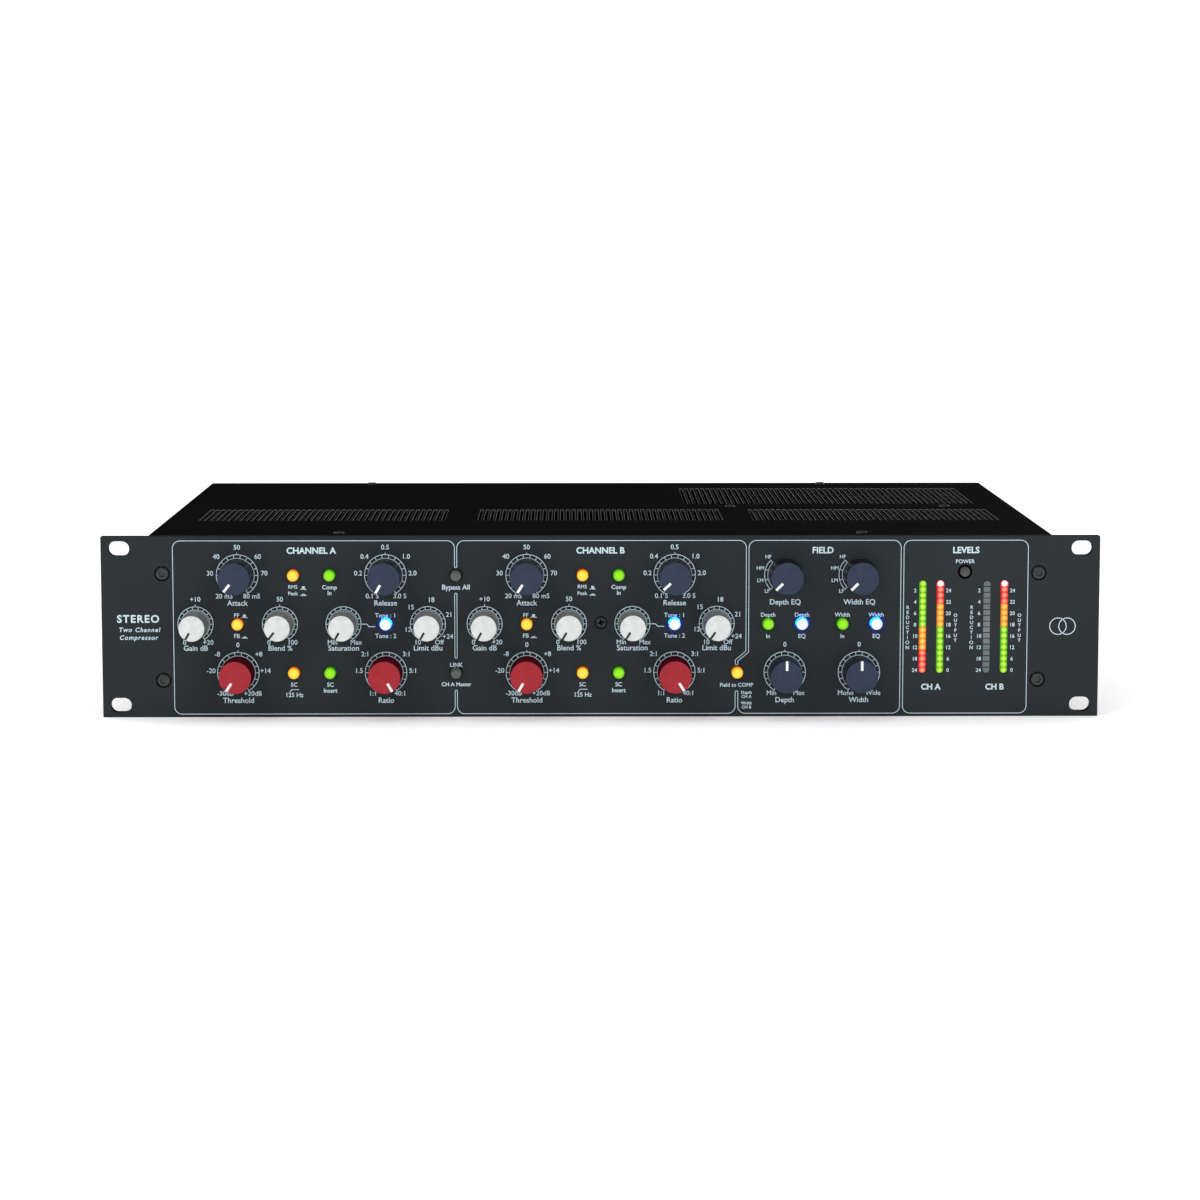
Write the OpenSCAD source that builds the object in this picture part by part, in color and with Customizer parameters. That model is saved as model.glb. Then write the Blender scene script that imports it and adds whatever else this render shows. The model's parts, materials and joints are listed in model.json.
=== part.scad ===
// Two-channel stereo compressor in a two-unit rack case.
// X runs to the right, Y from the front to the back and Z up, in millimetres.
// The origin is the centre of the front panel's rear face, which is the rack mounting plane.

/* [Front panel] */
// Width of the front panel over the rack ears
panel_w = 482.6; // [482.0:0.1:483.4]
// Height of the front panel, two rack units less clearance
panel_h = 88.1; // [87.6:0.1:88.1]
// Thickness of the front panel
panel_t = 4.8; // [4.0:0.1:5.0]
// Distance between the rack slots across the panel
rack_span_x = 465.1; // [464.5:0.1:465.7]
// Distance between the rack slots up the panel
rack_span_z = 76.2; // [76.0:0.1:76.4]
// Height of one rack slot
rack_slot_h = 7.1; // [6.8:0.1:7.2]
// Length of one rack slot
rack_slot_l = 10.2; // [9.5:0.1:10.6]

/* [Case] */
// Width of the case behind the panel
case_w = 440; // [438:0.5:444]
// Height of the case
case_h = 86.2; // [85.6:0.1:86.6]
// Depth of the case behind the panel
case_d = 305; // [300:1:330]
// Thickness of the folded sheet
sheet = 1.2; // [1.0:0.1:1.4]
// Thickness of the tray's front wall and of the rear panel
wall = 1.5; // [1.2:0.1:1.6]

/* [Control grid] */
// Distance between the same controls of the two channels
channel_pitch = 139.7; // [139:0.1:140]
// Distance between two rows of controls
row_pitch = 23.75; // [23.2:0.05:24]
// Height of the middle row above the panel's centre
middle_row_z = 1.4; // [1.0:0.1:1.8]
// Distance from a large knob's column to a small knob's column
side_step = 20.4; // [20:0.1:21]

/* [Knobs] */
// Diameter of a large knob at its face
large_knob_d = 15.6; // [15:0.1:16]
// Diameter of a small knob at its face
small_knob_d = 12.4; // [12.2:0.1:13]
// How much wider a knob is at its foot than at its face
knob_taper = 0.9; // [0.8:0.1:1.2]
// Distance from the panel to a knob's face
knob_reach = 18; // [17:0.5:20]
// Gap between the panel and a knob's foot
knob_gap = 0.8; // [0.6:0.1:1]

/* [Push buttons] */
// Diameter of a button's cap
button_d = 5.5; // [5:0.1:5.6]
// Distance from the panel to a button's face when it is out
button_reach = 3.2; // [3:0.1:4]
// Travel of a button
button_travel = 2.5; // [2:0.1:2.6]

/* [Meters] */
// Width of one meter bar
meter_w = 3.4; // [3:0.1:3.6]
// Height of one meter bar
meter_h = 45; // [44:0.5:46]
// Lamps in one meter bar
meter_lamps = 16; // [12:1:20]

/* [Vents] */
// Width of one vent slot
vent_w = 1.5; // [1.2:0.1:1.8]
// Distance between two vent slots
vent_pitch = 3; // [2.8:0.1:3.2]

/* [Hidden] */
$fn = 48;

// A gap that keeps two fitted pieces apart as solids
fit_gap = 0.02;
// A little more than a cutter needs to pass a face
past = 1;
// How much wider a hole is than what passes through it
meter_play = 0.2;
bush_play = 0.2;
button_play = 0.6;
power_play = 2;
wall_play = 1;
side_play = 0.2;
recess_play = 0.6;
cutout_play = 0.4;
screw_play = 0.3;
thread_play = 0.1;
board_play = 0.2;

// Rows and columns of the control grid
top_row_z = middle_row_z + row_pitch;
low_row_z = middle_row_z - row_pitch;
attack_x = -175.6;
release_x = -104.1;
inner_step = 27;
shared_x = -70.1;
depth_x = 89.1;
width_x = 125.1;
stereo_comp_x = 66;
field_step = 8.2;
power_x = 176;
power_z = 26.6;

// Knobs: name, x, z, pointer angle clockwise from the top, large or small, colour
function channel_knobs(mark, shift, angles) = [
    [str("gain_knob_", mark), attack_x - side_step + shift, middle_row_z, angles[0], false, "silver"],
    [str("attack_knob_", mark), attack_x + shift, top_row_z, angles[1], true, "blue"],
    [str("blend_knob_", mark), attack_x + side_step + shift, middle_row_z, angles[2], false, "silver"],
    [str("threshold_knob_", mark), attack_x + shift, low_row_z, angles[3], true, "red"],
    [str("saturation_knob_", mark), release_x - side_step + shift, middle_row_z, angles[4], false, "silver"],
    [str("release_knob_", mark), release_x + shift, top_row_z, angles[5], true, "blue"],
    [str("ratio_knob_", mark), release_x + shift, low_row_z, angles[6], true, "red"],
    [str("limit_knob_", mark), release_x + side_step + shift, middle_row_z, angles[7], false, "silver"],
];
eq_knobs = [
    ["depth_eq_knob", depth_x, top_row_z, -135, true, "blue"],
    ["width_eq_knob", width_x, top_row_z, -135, true, "blue"],
];
knobs = concat(
    channel_knobs("a", 0, [-150, -141, -141, -147, -150, -150, 150, -150]),
    channel_knobs("b", channel_pitch, [-150, -147, -150, -150, -147, -132, 147, -144]),
    eq_knobs,
    [
        ["depth_knob", depth_x, low_row_z, 0, true, "blue"],
        ["width_knob", width_x, low_row_z, 0, true, "blue"],
    ]
);

// Buttons: name, x, z, colour
function channel_buttons(mark, shift) = [
    [str("topology_button_", mark), attack_x + shift, middle_row_z, "orange"],
    [str("detector_button_", mark), attack_x + inner_step + shift, top_row_z, "orange"],
    [str("comp_button_", mark), release_x - inner_step + shift, top_row_z, "limegreen"],
    [str("filter_button_", mark), attack_x + inner_step + shift, low_row_z, "orange"],
    [str("insert_button_", mark), release_x - inner_step + shift, low_row_z, "limegreen"],
    [str("saturation_button_", mark), release_x + shift, middle_row_z, "lightskyblue"],
];
buttons = concat(
    channel_buttons("a", 0),
    channel_buttons("b", channel_pitch),
    [
        ["bypass_button", shared_x, top_row_z, "dimgray"],
        ["link_button", shared_x, low_row_z, "dimgray"],
        ["stereo_comp_button", stereo_comp_x, low_row_z, "orange"],
        ["depth_in_button", depth_x - field_step, middle_row_z, "limegreen"],
        ["depth_eq_button", depth_x + field_step, middle_row_z, "lightskyblue"],
        ["width_in_button", width_x - field_step, middle_row_z, "limegreen"],
        ["width_eq_button", width_x + field_step, middle_row_z, "lightskyblue"],
    ]
);
// The mains button is nearly flush
power_reach = 1.2;
power_d = 5;

// Meter bars: gain reduction and output for each channel
meter_z = -0.3;
meter_x = [155.75, 164.25, 186.75, 195.25];
meter_proud = 0.2;
meter_back_y = 11.5;

// Screws through the front panel
ear_screw_x = 211.8;
ear_screw_z = 26;
ear_screws = [for (sx = [-1, 1], sz = [-1, 1]) [sx * ear_screw_x, sz * ear_screw_z]];
centre_screw = [0, 2];
centre_recess = 1.5;
centre_recess_d = 6.2;
centre_head_d = 5.9;

// Levels of the case
base_z = -case_h / 2;
floor_z = base_z + sheet;
lid_z = case_h / 2 - sheet;
side_x = case_w / 2 - sheet;
rear_y = case_d - wall;
flange = 11;
// Distance that the tray's rear lips stop short of its corners
corner_relief = 6;
low_lip_h = 10;
rear_lip_w = 300;
// Bosses that the panel screws turn into
boss_d = 8;
boss_end_y = 4;

// Cover screws: x, y
front_flange_d = 30;
rear_flange_d = 14;
bracket_y = 164;
bracket_flange_d = 11;
bracket_x0 = 58;
bracket_x1 = 196;
cover_screws = [[-128, 20], [128, 20], [-128, 297], [128, 297], [70, 159], [184, 159]];
// Rear panel screws: x, z
rear_screws = [[-213.5, 30], [-213.5, -30], [213.5, 30], [213.5, -30], [-100, -37], [100, -37]];

// Vent fields: centre x, first y, last y, number of slots
vents = [
    [-141, 83, 141, 42],
    [0.5, 83, 141, 42],
    [141, 83, 141, 42],
    [123.8, 174, 267, 52],
];

// Potentiometers and switches
bush_d = 7;
shaft_d = 6;
shaft_play = 0.05;
pot_w = 12;
pot_h = 12.6;
rotary_d = 16;
lead_pitch = 2.5;
lead_drop = 4.5;
lead_d = 0.9;
bush_front_y = -panel_t - 3.2;
nut_af = 9;
nut_t = 2.2;
washer_t = 0.4;
washer_d = 10.4;
pot_back_y = 9;
pot_back_t = 1.2;
board_y = 16;
board_t = 1.6;
control_board_size = [424, 76];
lamp_size = [1.6, 2];
switch_w = 7.5;
switch_front_y = 7;
stem_d = 3;
stem_end_y = 11;
stem_room = 0.8;
stem_in_cap = 5;
cap_bevel = 0.5;

// Knob inside
knob_recess_d = 11.2;
knob_recess = 3.2;
knob_edge = 0.5;
pointer_t = 0.6;
pointer_end = 0.6;
large_pointer = [1.2, 3.2];
small_pointer = [1, 2.3];
// Metal left in front of the shaft's bore
shaft_in_knob = 3;
// How far a shaft runs on behind the mounting plane
shaft_tail = 6.5;

// Fasteners
ear_shank_d = 4;
ear_shank_l = 9;
ear_head_d = 6.6;
ear_head_t = 2.1;
ear_head_bevel = 0.4;
ear_socket_af = 2.5;
ear_socket_depth = 1.3;
m3_d = 3;
m3_head_d = 5.6;
m3_head_t = 0.9;
head_taper = 1;
post_head_t = 1.6;
cross_w = 0.6;
case_screw_l = 5;
flange_screw_l = 7;
post_af = 5.5;

// Boards in the case
main_z = floor_z + 6;
deck_z = main_z + board_t + fit_gap;
// Outline of the main board, seen from above
main_outline = [[-206, 24], [200, 24], [200, 150], [50, 150], [50, 272], [-206, 272]];
main_posts = [
    [-200, 30], [-200, 150], [-200, 266], [-70, 30], [-70, 266], [44, 266], [60, 30], [194, 30], [194, 144],
];
power_x0 = 62;
power_x1 = 108;
power_y0 = 172;
power_y1 = 268;
toroid_x = 162;
toroid_y = 222;
toroid_h = 42;
transformer_side = 27;
transformer_h = 34;
transformer_x = [-190, -155, -120, -60, -25, 10];
transformer_y = 248;

// Rear connectors: x of each, on one line
connector_z = 8;
xlr_out_x = [-142, 8];
xlr_in_x = [-108, 42];
jack_x = [-192, -172, -58, -38, 76];
inlet_x = 162;
xlr_flange = [26, 31];
xlr_flange_t = 2;
xlr_screw = [9.5, 12];
xlr_body_d = 23.6;
xlr_depth = 20;
xlr_nose = 3;
xlr_cup_d = 16.2;
xlr_cup_depth = 15;
xlr_insulator_t = 3;
xlr_pin_ring = 4;
xlr_pin_d = 2.4;
xlr_pin_l = 13;
xlr_pocket_d = 19.2;
xlr_pocket_depth = 14;
xlr_core_d = 15.4;
xlr_core_l = 12.5;
xlr_contact_d = 2.8;
xlr_lever = [7, 2.9, 1.5];
xlr_lever_drop = 14.9;
jack_bore_d = 6.5;
jack_bush_d = 9.5;
jack_out = 4;
jack_bore_l = 31;
jack_body = [16, 18, 28];
jack_body_front = 2;
jack_nut = [12.5, 2.2];
inlet_flange = [50, 34];
inlet_flange_t = 3;
inlet_screw_x = 20;
inlet_body = [30, 28, 21];
inlet_cavity = [24.4, 16.2];
inlet_corner = 3.5;
inlet_depth = 16.5;
inlet_blade = [2, 4];
inlet_blade_l = 11;
inlet_blade_root = 4;
drawer = [22, 5.2, 16.5];
drawer_slot_play = 0.4;
drawer_back = -13;

// Screws that hold the rear connectors' flanges: x, z
function flange_screws() = concat(
    [for (x = concat(xlr_out_x, xlr_in_x), s = [-1, 1])
        [x + s * xlr_screw[0], connector_z - s * xlr_screw[1]]],
    [for (s = [-1, 1]) [inlet_x + s * inlet_screw_x, connector_z]]
);

// A cylinder along Y from y0 to y1
module rod(x, z, y0, y1, d) {
    translate([x, y1, z]) rotate([90, 0, 0]) cylinder(d = d, h = y1 - y0);
}

// A block centred on x and z, from y0 to y1
module block(x, z, w, h, y0, y1) {
    translate([x - w / 2, y0, z - h / 2]) cube([w, y1 - y0, h]);
}

// A flat drawing in x and z made into a plate from y0 to y1
module upright(y0, y1) {
    translate([0, y1, 0]) rotate([90, 0, 0]) linear_extrude(y1 - y0) children();
}

// Its children stand on a plane facing the front at y, with their own +y up
module facing(x, y, z) {
    translate([x, y, z]) rotate([90, 0, 0]) children();
}

// A slot with round ends, l long over all, along x or z
module slot_x(l, h) {
    square([l - h, h], center = true);
    for (s = [-1, 1]) translate([s * (l - h) / 2, 0]) circle(d = h);
}
module slot_z(w, l) {
    rotate(90) slot_x(l, w);
}

// A hexagonal prism across flats af, standing on z = 0
module hex(af, h) {
    cylinder(d = af / cos(30), h = h, $fn = 6);
}

// Cutter of a cross recess of length l, from z up
module cross_recess(l, z) {
    for (a = [0, 90]) rotate(a) translate([-l / 2, -cross_w / 2, z]) cube([l, cross_w, 2]);
}

module front_panel() {
    color("#2e3539") difference() {
        upright(-panel_t, 0) difference() {
            square([panel_w, panel_h], center = true);
            for (sx = [-1, 1], sz = [-1, 1])
                translate([sx * rack_span_x / 2, sz * rack_span_z / 2]) slot_x(rack_slot_l, rack_slot_h);
            for (x = meter_x) translate([x, meter_z]) slot_z(meter_w + meter_play, meter_h + meter_play);
        }
        for (k = knobs) rod(k[1], k[2], -panel_t - past, past, bush_d + bush_play);
        for (b = buttons) rod(b[1], b[2], -panel_t - past, past, button_d + button_play);
        rod(power_x, power_z, -panel_t - past, past, power_d + power_play);
        for (s = ear_screws) {
            rod(s[0], s[1], -panel_t - past, past, ear_shank_d + screw_play);
            rod(s[0], s[1], -panel_t - past, -panel_t + ear_head_t, ear_head_d + recess_play);
        }
        rod(centre_screw[0], centre_screw[1], -panel_t - past, past, m3_d + screw_play);
        facing(centre_screw[0], -panel_t + centre_recess, centre_screw[1])
            cylinder(d1 = m3_d + screw_play, d2 = centre_recess_d, h = centre_recess + fit_gap);
    }
}

// A screw with a round head and a hex socket, and the cross-headed one at the centre
module panel_screws() {
    color("#1d1f20") {
        for (s = ear_screws) facing(s[0], -panel_t + ear_head_t, s[1]) difference() {
            union() {
                cylinder(d = ear_head_d, h = ear_head_t - ear_head_bevel);
                translate([0, 0, ear_head_t - ear_head_bevel])
                    cylinder(d1 = ear_head_d, d2 = ear_head_d - 2 * ear_head_bevel, h = ear_head_bevel);
                translate([0, 0, -ear_shank_l]) cylinder(d = ear_shank_d, h = ear_shank_l);
            }
            translate([0, 0, ear_head_t - ear_socket_depth]) hex(ear_socket_af, 2);
        }
        facing(centre_screw[0], -panel_t + centre_recess, centre_screw[1]) difference() {
            union() {
                cylinder(d1 = m3_d, d2 = centre_head_d, h = centre_recess - 0.05);
                translate([0, 0, -case_screw_l]) cylinder(d = m3_d, h = case_screw_l);
            }
            cross_recess(3.2, 0.6);
        }
    }
}

// Threaded holes under the cover, in the lips that carry it
module cover_threads() {
    for (s = cover_screws)
        translate([s[0], s[1], lid_z - sheet - past]) cylinder(d = m3_d + thread_play, h = sheet + 2 * past);
}

// Tray folded from one sheet: floor, sides, front wall and the lips that carry the cover
module chassis_tray() {
    lip_x = side_x - flange / 2;
    color("#101113") difference() {
        union() {
            translate([-case_w / 2, 0, base_z]) cube([case_w, case_d, sheet]);
            for (s = [-1, 1]) {
                block(s * (side_x + sheet / 2), (base_z + lid_z) / 2, sheet, lid_z - base_z, 0, case_d);
                block(s * lip_x, lid_z - sheet / 2, flange, sheet, wall, rear_y - rear_flange_d - 2);
                block(s * lip_x, 0, flange, case_h - 2 * corner_relief, rear_y - sheet, rear_y);
            }
            block(0, (base_z + lid_z) / 2, case_w, lid_z - base_z, 0, wall);
            block(0, lid_z - sheet / 2, case_w - 2 * flange, sheet, wall, front_flange_d);
            block(0, floor_z + low_lip_h / 2, case_w - 2 * flange, low_lip_h, rear_y - sheet, rear_y);
            for (s = ear_screws) rod(s[0], s[1], wall, boss_end_y, boss_d);
        }
        for (k = knobs) rod(k[1], k[2], -past, wall + past, bush_d + 2 * bush_play);
        for (b = buttons) rod(b[1], b[2], -past, wall + past, button_d + wall_play);
        rod(power_x, power_z, -past, wall + past, power_d + power_play);
        for (x = meter_x)
            block(x, meter_z, meter_w + meter_play + wall_play, meter_h + meter_play + wall_play,
                -past, wall + past);
        for (s = ear_screws) rod(s[0], s[1], -past, boss_end_y + past, ear_shank_d + thread_play);
        rod(centre_screw[0], centre_screw[1], -past, wall + past, m3_d + thread_play);
        cover_threads();
        for (s = rear_screws) rod(s[0], s[1], rear_y - sheet - past, rear_y + past, m3_d + thread_play);
    }
}

module top_cover() {
    color("#0d0e10") difference() {
        translate([0, 0, lid_z]) linear_extrude(sheet) difference() {
            translate([-case_w / 2, 0]) square([case_w, case_d]);
            for (v = vents, i = [0 : v[3] - 1])
                translate([v[0] + (i - (v[3] - 1) / 2) * vent_pitch - vent_w / 2, v[1]])
                    square([vent_w, v[2] - v[1]]);
        }
        for (s = cover_screws)
            translate([s[0], s[1], lid_z - past]) cylinder(d = m3_d + cutout_play, h = sheet + 2 * past);
    }
}

// Rear panel with its connector cut-outs and the lip that carries the cover
module rear_panel() {
    color("#121316") difference() {
        union() {
            upright(rear_y, case_d) square([2 * side_x - side_play, lid_z - floor_z], center = true);
            block(0, lid_z - sheet / 2, rear_lip_w, sheet, rear_y - rear_flange_d, rear_y);
        }
        for (x = concat(xlr_out_x, xlr_in_x))
            rod(x, connector_z, rear_y - past, case_d + past, xlr_body_d + cutout_play);
        for (x = jack_x) rod(x, connector_z, rear_y - past, case_d + past, jack_bush_d + screw_play);
        block(inlet_x, connector_z, inlet_body[0] + recess_play, inlet_body[1] + recess_play,
            rear_y - past, case_d + past);
        for (s = rear_screws) rod(s[0], s[1], rear_y - past, case_d + past, m3_d + cutout_play);
        for (s = flange_screws()) rod(s[0], s[1], rear_y - past, case_d + past, m3_d + thread_play);
        cover_threads();
    }
}

// A low round-headed screw standing on z = 0 with its shank below
module case_screw(shank) {
    difference() {
        union() {
            cylinder(d1 = m3_head_d, d2 = m3_head_d - head_taper, h = m3_head_t);
            translate([0, 0, -shank]) cylinder(d = m3_d, h = shank);
        }
        cross_recess(2.8, 0.3);
    }
}

// Thickness of the connector flange that a screw holds
function flange_at(s) = abs(s[0] - inlet_x) < inlet_flange[0] ? inlet_flange_t : xlr_flange_t;

module case_screws() {
    color("#3a3a3c") {
        for (s = cover_screws) translate([s[0], s[1], case_h / 2]) case_screw(case_screw_l);
        for (s = rear_screws) translate([s[0], case_d, s[1]]) rotate([-90, 0, 0]) case_screw(case_screw_l);
        for (s = flange_screws())
            translate([s[0], case_d + flange_at(s), s[1]]) rotate([-90, 0, 0]) case_screw(flange_screw_l);
    }
}

// One rotary control behind the panel: housing, threaded bush and three leads
module pot_body(x, z, round) {
    difference() {
        union() {
            if (round) rod(x, z, wall + fit_gap, pot_back_y, rotary_d);
            else block(x, z, pot_w, pot_h, wall + fit_gap, pot_back_y);
            rod(x, z, bush_front_y, wall + past, bush_d);
            for (s = [-1, 0, 1])
                rod(x + s * lead_pitch, z - lead_drop, pot_back_y - past, board_y - fit_gap, lead_d);
        }
        rod(x, z, bush_front_y - past, pot_back_y - pot_back_t, shaft_d + 2 * shaft_play);
    }
}

function is_eq(name) = len([for (k = eq_knobs) if (k[0] == name) 1]) > 0;

module potentiometers() {
    color("#3f6b4a") for (k = knobs) pot_body(k[1], k[2], is_eq(k[0]));
}

// Nut and washer of each rotary control, hidden under its knob
module pot_nuts() {
    color("#b8b4a8") for (k = knobs) {
        facing(k[1], -panel_t - fit_gap, k[2]) difference() {
            cylinder(d = washer_d, h = washer_t - fit_gap);
            translate([0, 0, -past]) cylinder(d = bush_d + bush_play, h = washer_t + 2 * past);
        }
        facing(k[1], -panel_t - washer_t - fit_gap, k[2]) difference() {
            hex(nut_af, nut_t);
            translate([0, 0, -past]) cylinder(d = bush_d + thread_play, h = nut_t + 2 * past);
        }
    }
}

// Body of one push switch on the control board, bored for its plunger
module switch_body(x, z) {
    difference() {
        block(x, z, switch_w, switch_w, switch_front_y, board_y - fit_gap);
        rod(x, z, switch_front_y - past, stem_end_y + button_travel + stem_room, stem_d + screw_play);
    }
}

module push_switches() {
    color("#26282a") {
        for (b = buttons) switch_body(b[1], b[2]);
        switch_body(power_x, power_z);
    }
}

// Upright board behind the front wall, with the meter lamps on it
module control_board() {
    lamp_pitch = meter_h / meter_lamps;
    lamp_z = meter_z - (meter_lamps - 1) / 2 * lamp_pitch;
    color("#1f5a3c") {
        upright(board_y, board_y + board_t) difference() {
            square(control_board_size, center = true);
            for (s = control_posts()) translate(s) circle(d = m3_d + board_play);
        }
        for (x = meter_x, i = [0 : meter_lamps - 1])
            block(x, lamp_z + i * lamp_pitch, lamp_size[0], lamp_size[1],
                meter_back_y + 1, board_y - fit_gap);
    }
}

// Light bars from the lamps to the panel face
module meter_lenses() {
    color("#9fc9a8") upright(-panel_t - meter_proud, meter_back_y)
        for (x = meter_x) translate([x, meter_z]) slot_z(meter_w, meter_h);
}

// A rectangular part on a board at x, y
module chip(x, y, w, d, h) {
    translate([x - w / 2, y - d / 2, deck_z]) cube([w, d, h]);
}

// Horizontal audio board with its amplifiers, relays and capacitors
module main_board() {
    column = 30;
    row = 34;
    chip_x = -185;
    chip_y = 60;
    relay_x = chip_x + column / 2;
    relay_y = chip_y + row / 2;
    color("#1f5a3c") translate([0, 0, main_z]) linear_extrude(board_t) difference() {
        polygon(main_outline);
        for (p = main_posts) translate(p) circle(d = m3_d + board_play);
    }
    color("#202224") {
        for (i = [0 : 7], j = [0 : 4]) chip(chip_x + i * column, chip_y + j * row, 7, 9.5, 3.5);
        for (i = [0 : 3], j = [0, 1]) chip(80 + i * column, chip_y + j * row, 7, 9.5, 3.5);
    }
    color("#d8d4c8") for (i = [0 : 6], j = [0, 3]) chip(relay_x + i * column, relay_y + j * row, 10, 15, 9);
    color("#2b3a5c") for (i = [0 : 6], j = [1, 2, 4])
        translate([relay_x + i * column, relay_y + j * row, deck_z]) cylinder(d = 8, h = 12);
}

// Screened audio transformers near the rear connectors
module audio_transformers() {
    color("#8d9094") for (x = transformer_x) {
        chip(x, transformer_y, transformer_side, transformer_side, transformer_h);
        translate([0, 0, transformer_h + fit_gap]) chip(x, transformer_y, transformer_side - 4, 5, 1.2);
    }
}

// Toroidal mains transformer with its pad, clamp dish and bolt
module mains_transformer() {
    pad_t = 2;
    low = floor_z + pad_t;
    r0 = 16;
    r1 = 46;
    edge = 4;
    dish_t = 2.5;
    bolt_d = 6;
    nut_h = 5;
    translate([toroid_x, toroid_y, 0]) {
        color("#2a2a2c") translate([0, 0, floor_z + fit_gap]) difference() {
            cylinder(r = r1 - edge, h = pad_t - 0.1);
            translate([0, 0, -past]) cylinder(d = bolt_d + 2, h = pad_t + 2 * past);
        }
        color("#c9a23a") translate([0, 0, low]) rotate_extrude() polygon([
            [r0, edge], [r0 + edge, 0], [r1 - edge, 0], [r1, edge],
            [r1, toroid_h - edge], [r1 - edge, toroid_h], [r0 + edge, toroid_h], [r0, toroid_h - edge],
        ]);
        color("#77797c") translate([0, 0, low + toroid_h + fit_gap]) difference() {
            cylinder(d1 = 64, d2 = 58, h = dish_t);
            translate([0, 0, -past]) cylinder(d = bolt_d + recess_play, h = dish_t + 2 * past);
        }
        color("#9a9c9f") translate([0, 0, floor_z + 0.2]) {
            cylinder(d = bolt_d, h = toroid_h + 8);
            translate([0, 0, toroid_h + pad_t + dish_t - 0.1]) hex(10, nut_h);
        }
    }
}

// Power board with its reservoir capacitors, heatsink and regulators
module power_board() {
    mid_x = (power_x0 + power_x1) / 2;
    color("#1f5a3c") difference() {
        translate([power_x0, power_y0, main_z]) cube([power_x1 - power_x0, power_y1 - power_y0, board_t]);
        for (p = power_posts())
            translate([p[0], p[1], main_z - past]) cylinder(d = m3_d + board_play, h = board_t + 2 * past);
    }
    color("#2b3a5c") for (x = [mid_x - 11, mid_x + 11], y = [188, 210])
        translate([x, y, deck_z]) cylinder(d = 18, h = 30);
    color("#3c3e40") translate([mid_x - 20, 246, deck_z]) {
        cube([40, 4, 32]);
        for (i = [0 : 6]) translate([i * 6.2, 3.5, 0]) cube([2, 10.5, 32]);
    }
    color("#202224") for (i = [-1, 0, 1]) chip(mid_x + i * 13, 243.4, 10, 4.6, 18);
}

// Folded bracket between the power section and the audio board, screwed to the cover
module psu_bracket() {
    w = bracket_x1 - bracket_x0;
    color("#77797c") difference() {
        union() {
            translate([bracket_x0, bracket_y, floor_z + fit_gap])
                cube([w, sheet, lid_z - floor_z - 2 * fit_gap]);
            translate([bracket_x0, bracket_y - bracket_flange_d, lid_z - sheet - fit_gap])
                cube([w, bracket_flange_d + sheet, sheet]);
            translate([bracket_x0, bracket_y - bracket_flange_d, floor_z + fit_gap])
                cube([w, bracket_flange_d + sheet, sheet]);
        }
        cover_threads();
    }
}

// Its children stand on the rear panel's outer face, looking back, at the connectors' height
module on_rear(x) {
    translate([x, case_d, connector_z]) rotate([-90, 0, 0]) children();
}

// Body of a panel connector: its flange with two screw holes, and a barrel with a plain pocket
module xlr_shell(pocket_d, pocket_depth) {
    linear_extrude(xlr_flange_t) difference() {
        square(xlr_flange, center = true);
        for (s = [-1, 1]) translate([s * xlr_screw[0], s * xlr_screw[1]]) circle(d = m3_d + board_play);
        circle(d = xlr_body_d - past);
    }
    difference() {
        translate([0, 0, -xlr_depth]) cylinder(d = xlr_body_d, h = xlr_depth + xlr_nose);
        translate([0, 0, xlr_nose - pocket_depth]) cylinder(d = pocket_d, h = pocket_depth + past);
    }
}

// Its children stand at the three contacts of a connector
module at_contacts() {
    for (a = [90, 210, 330]) rotate(a) translate([xlr_pin_ring, 0, 0]) children();
}

// Output socket: a cup with three pins that stand in an insulator
module xlr_output(x) {
    pocket = xlr_cup_depth + xlr_insulator_t;
    on_rear(x) {
        xlr_shell(xlr_cup_d, pocket);
        translate([0, 0, xlr_nose - pocket + fit_gap]) {
            difference() {
                cylinder(d = xlr_cup_d - 2 * fit_gap, h = xlr_insulator_t);
                at_contacts() translate([0, 0, -past])
                    cylinder(d = xlr_pin_d + 2 * fit_gap, h = xlr_insulator_t + 2 * past);
            }
            at_contacts() cylinder(d = xlr_pin_d, h = xlr_pin_l);
        }
    }
}

// Input socket: a core with three contacts in a wider pocket, and its latch lever
module xlr_input(x) {
    on_rear(x) {
        xlr_shell(xlr_pocket_d, xlr_pocket_depth);
        translate([0, 0, xlr_nose - xlr_pocket_depth + fit_gap]) difference() {
            cylinder(d = xlr_core_d, h = xlr_core_l);
            at_contacts() translate([0, 0, past]) cylinder(d = xlr_contact_d, h = xlr_core_l);
        }
        translate([-xlr_lever[0] / 2, -xlr_lever_drop, xlr_flange_t + fit_gap]) cube(xlr_lever);
    }
}

module xlr_sockets() {
    color("#1a1b1d") {
        for (x = xlr_out_x) xlr_output(x);
        for (x = xlr_in_x) xlr_input(x);
    }
}

// Quarter-inch jack: body, threaded bush and its nut
module jack(x) {
    on_rear(x) {
        difference() {
            union() {
                translate([-jack_body[0] / 2, -jack_body[1] / 2, -jack_body_front - jack_body[2]])
                    cube(jack_body);
                translate([0, 0, -jack_body_front - past])
                    cylinder(d = jack_bush_d, h = jack_body_front + past + jack_out);
            }
            translate([0, 0, jack_out - jack_bore_l]) cylinder(d = jack_bore_d, h = jack_bore_l + past);
        }
        translate([0, 0, fit_gap]) difference() {
            hex(jack_nut[0], jack_nut[1]);
            translate([0, 0, -past]) cylinder(d = jack_bush_d + 2 * fit_gap, h = jack_nut[1] + 2 * past);
        }
    }
}

module jack_sockets() {
    color("#242628") for (x = jack_x) jack(x);
}

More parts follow.
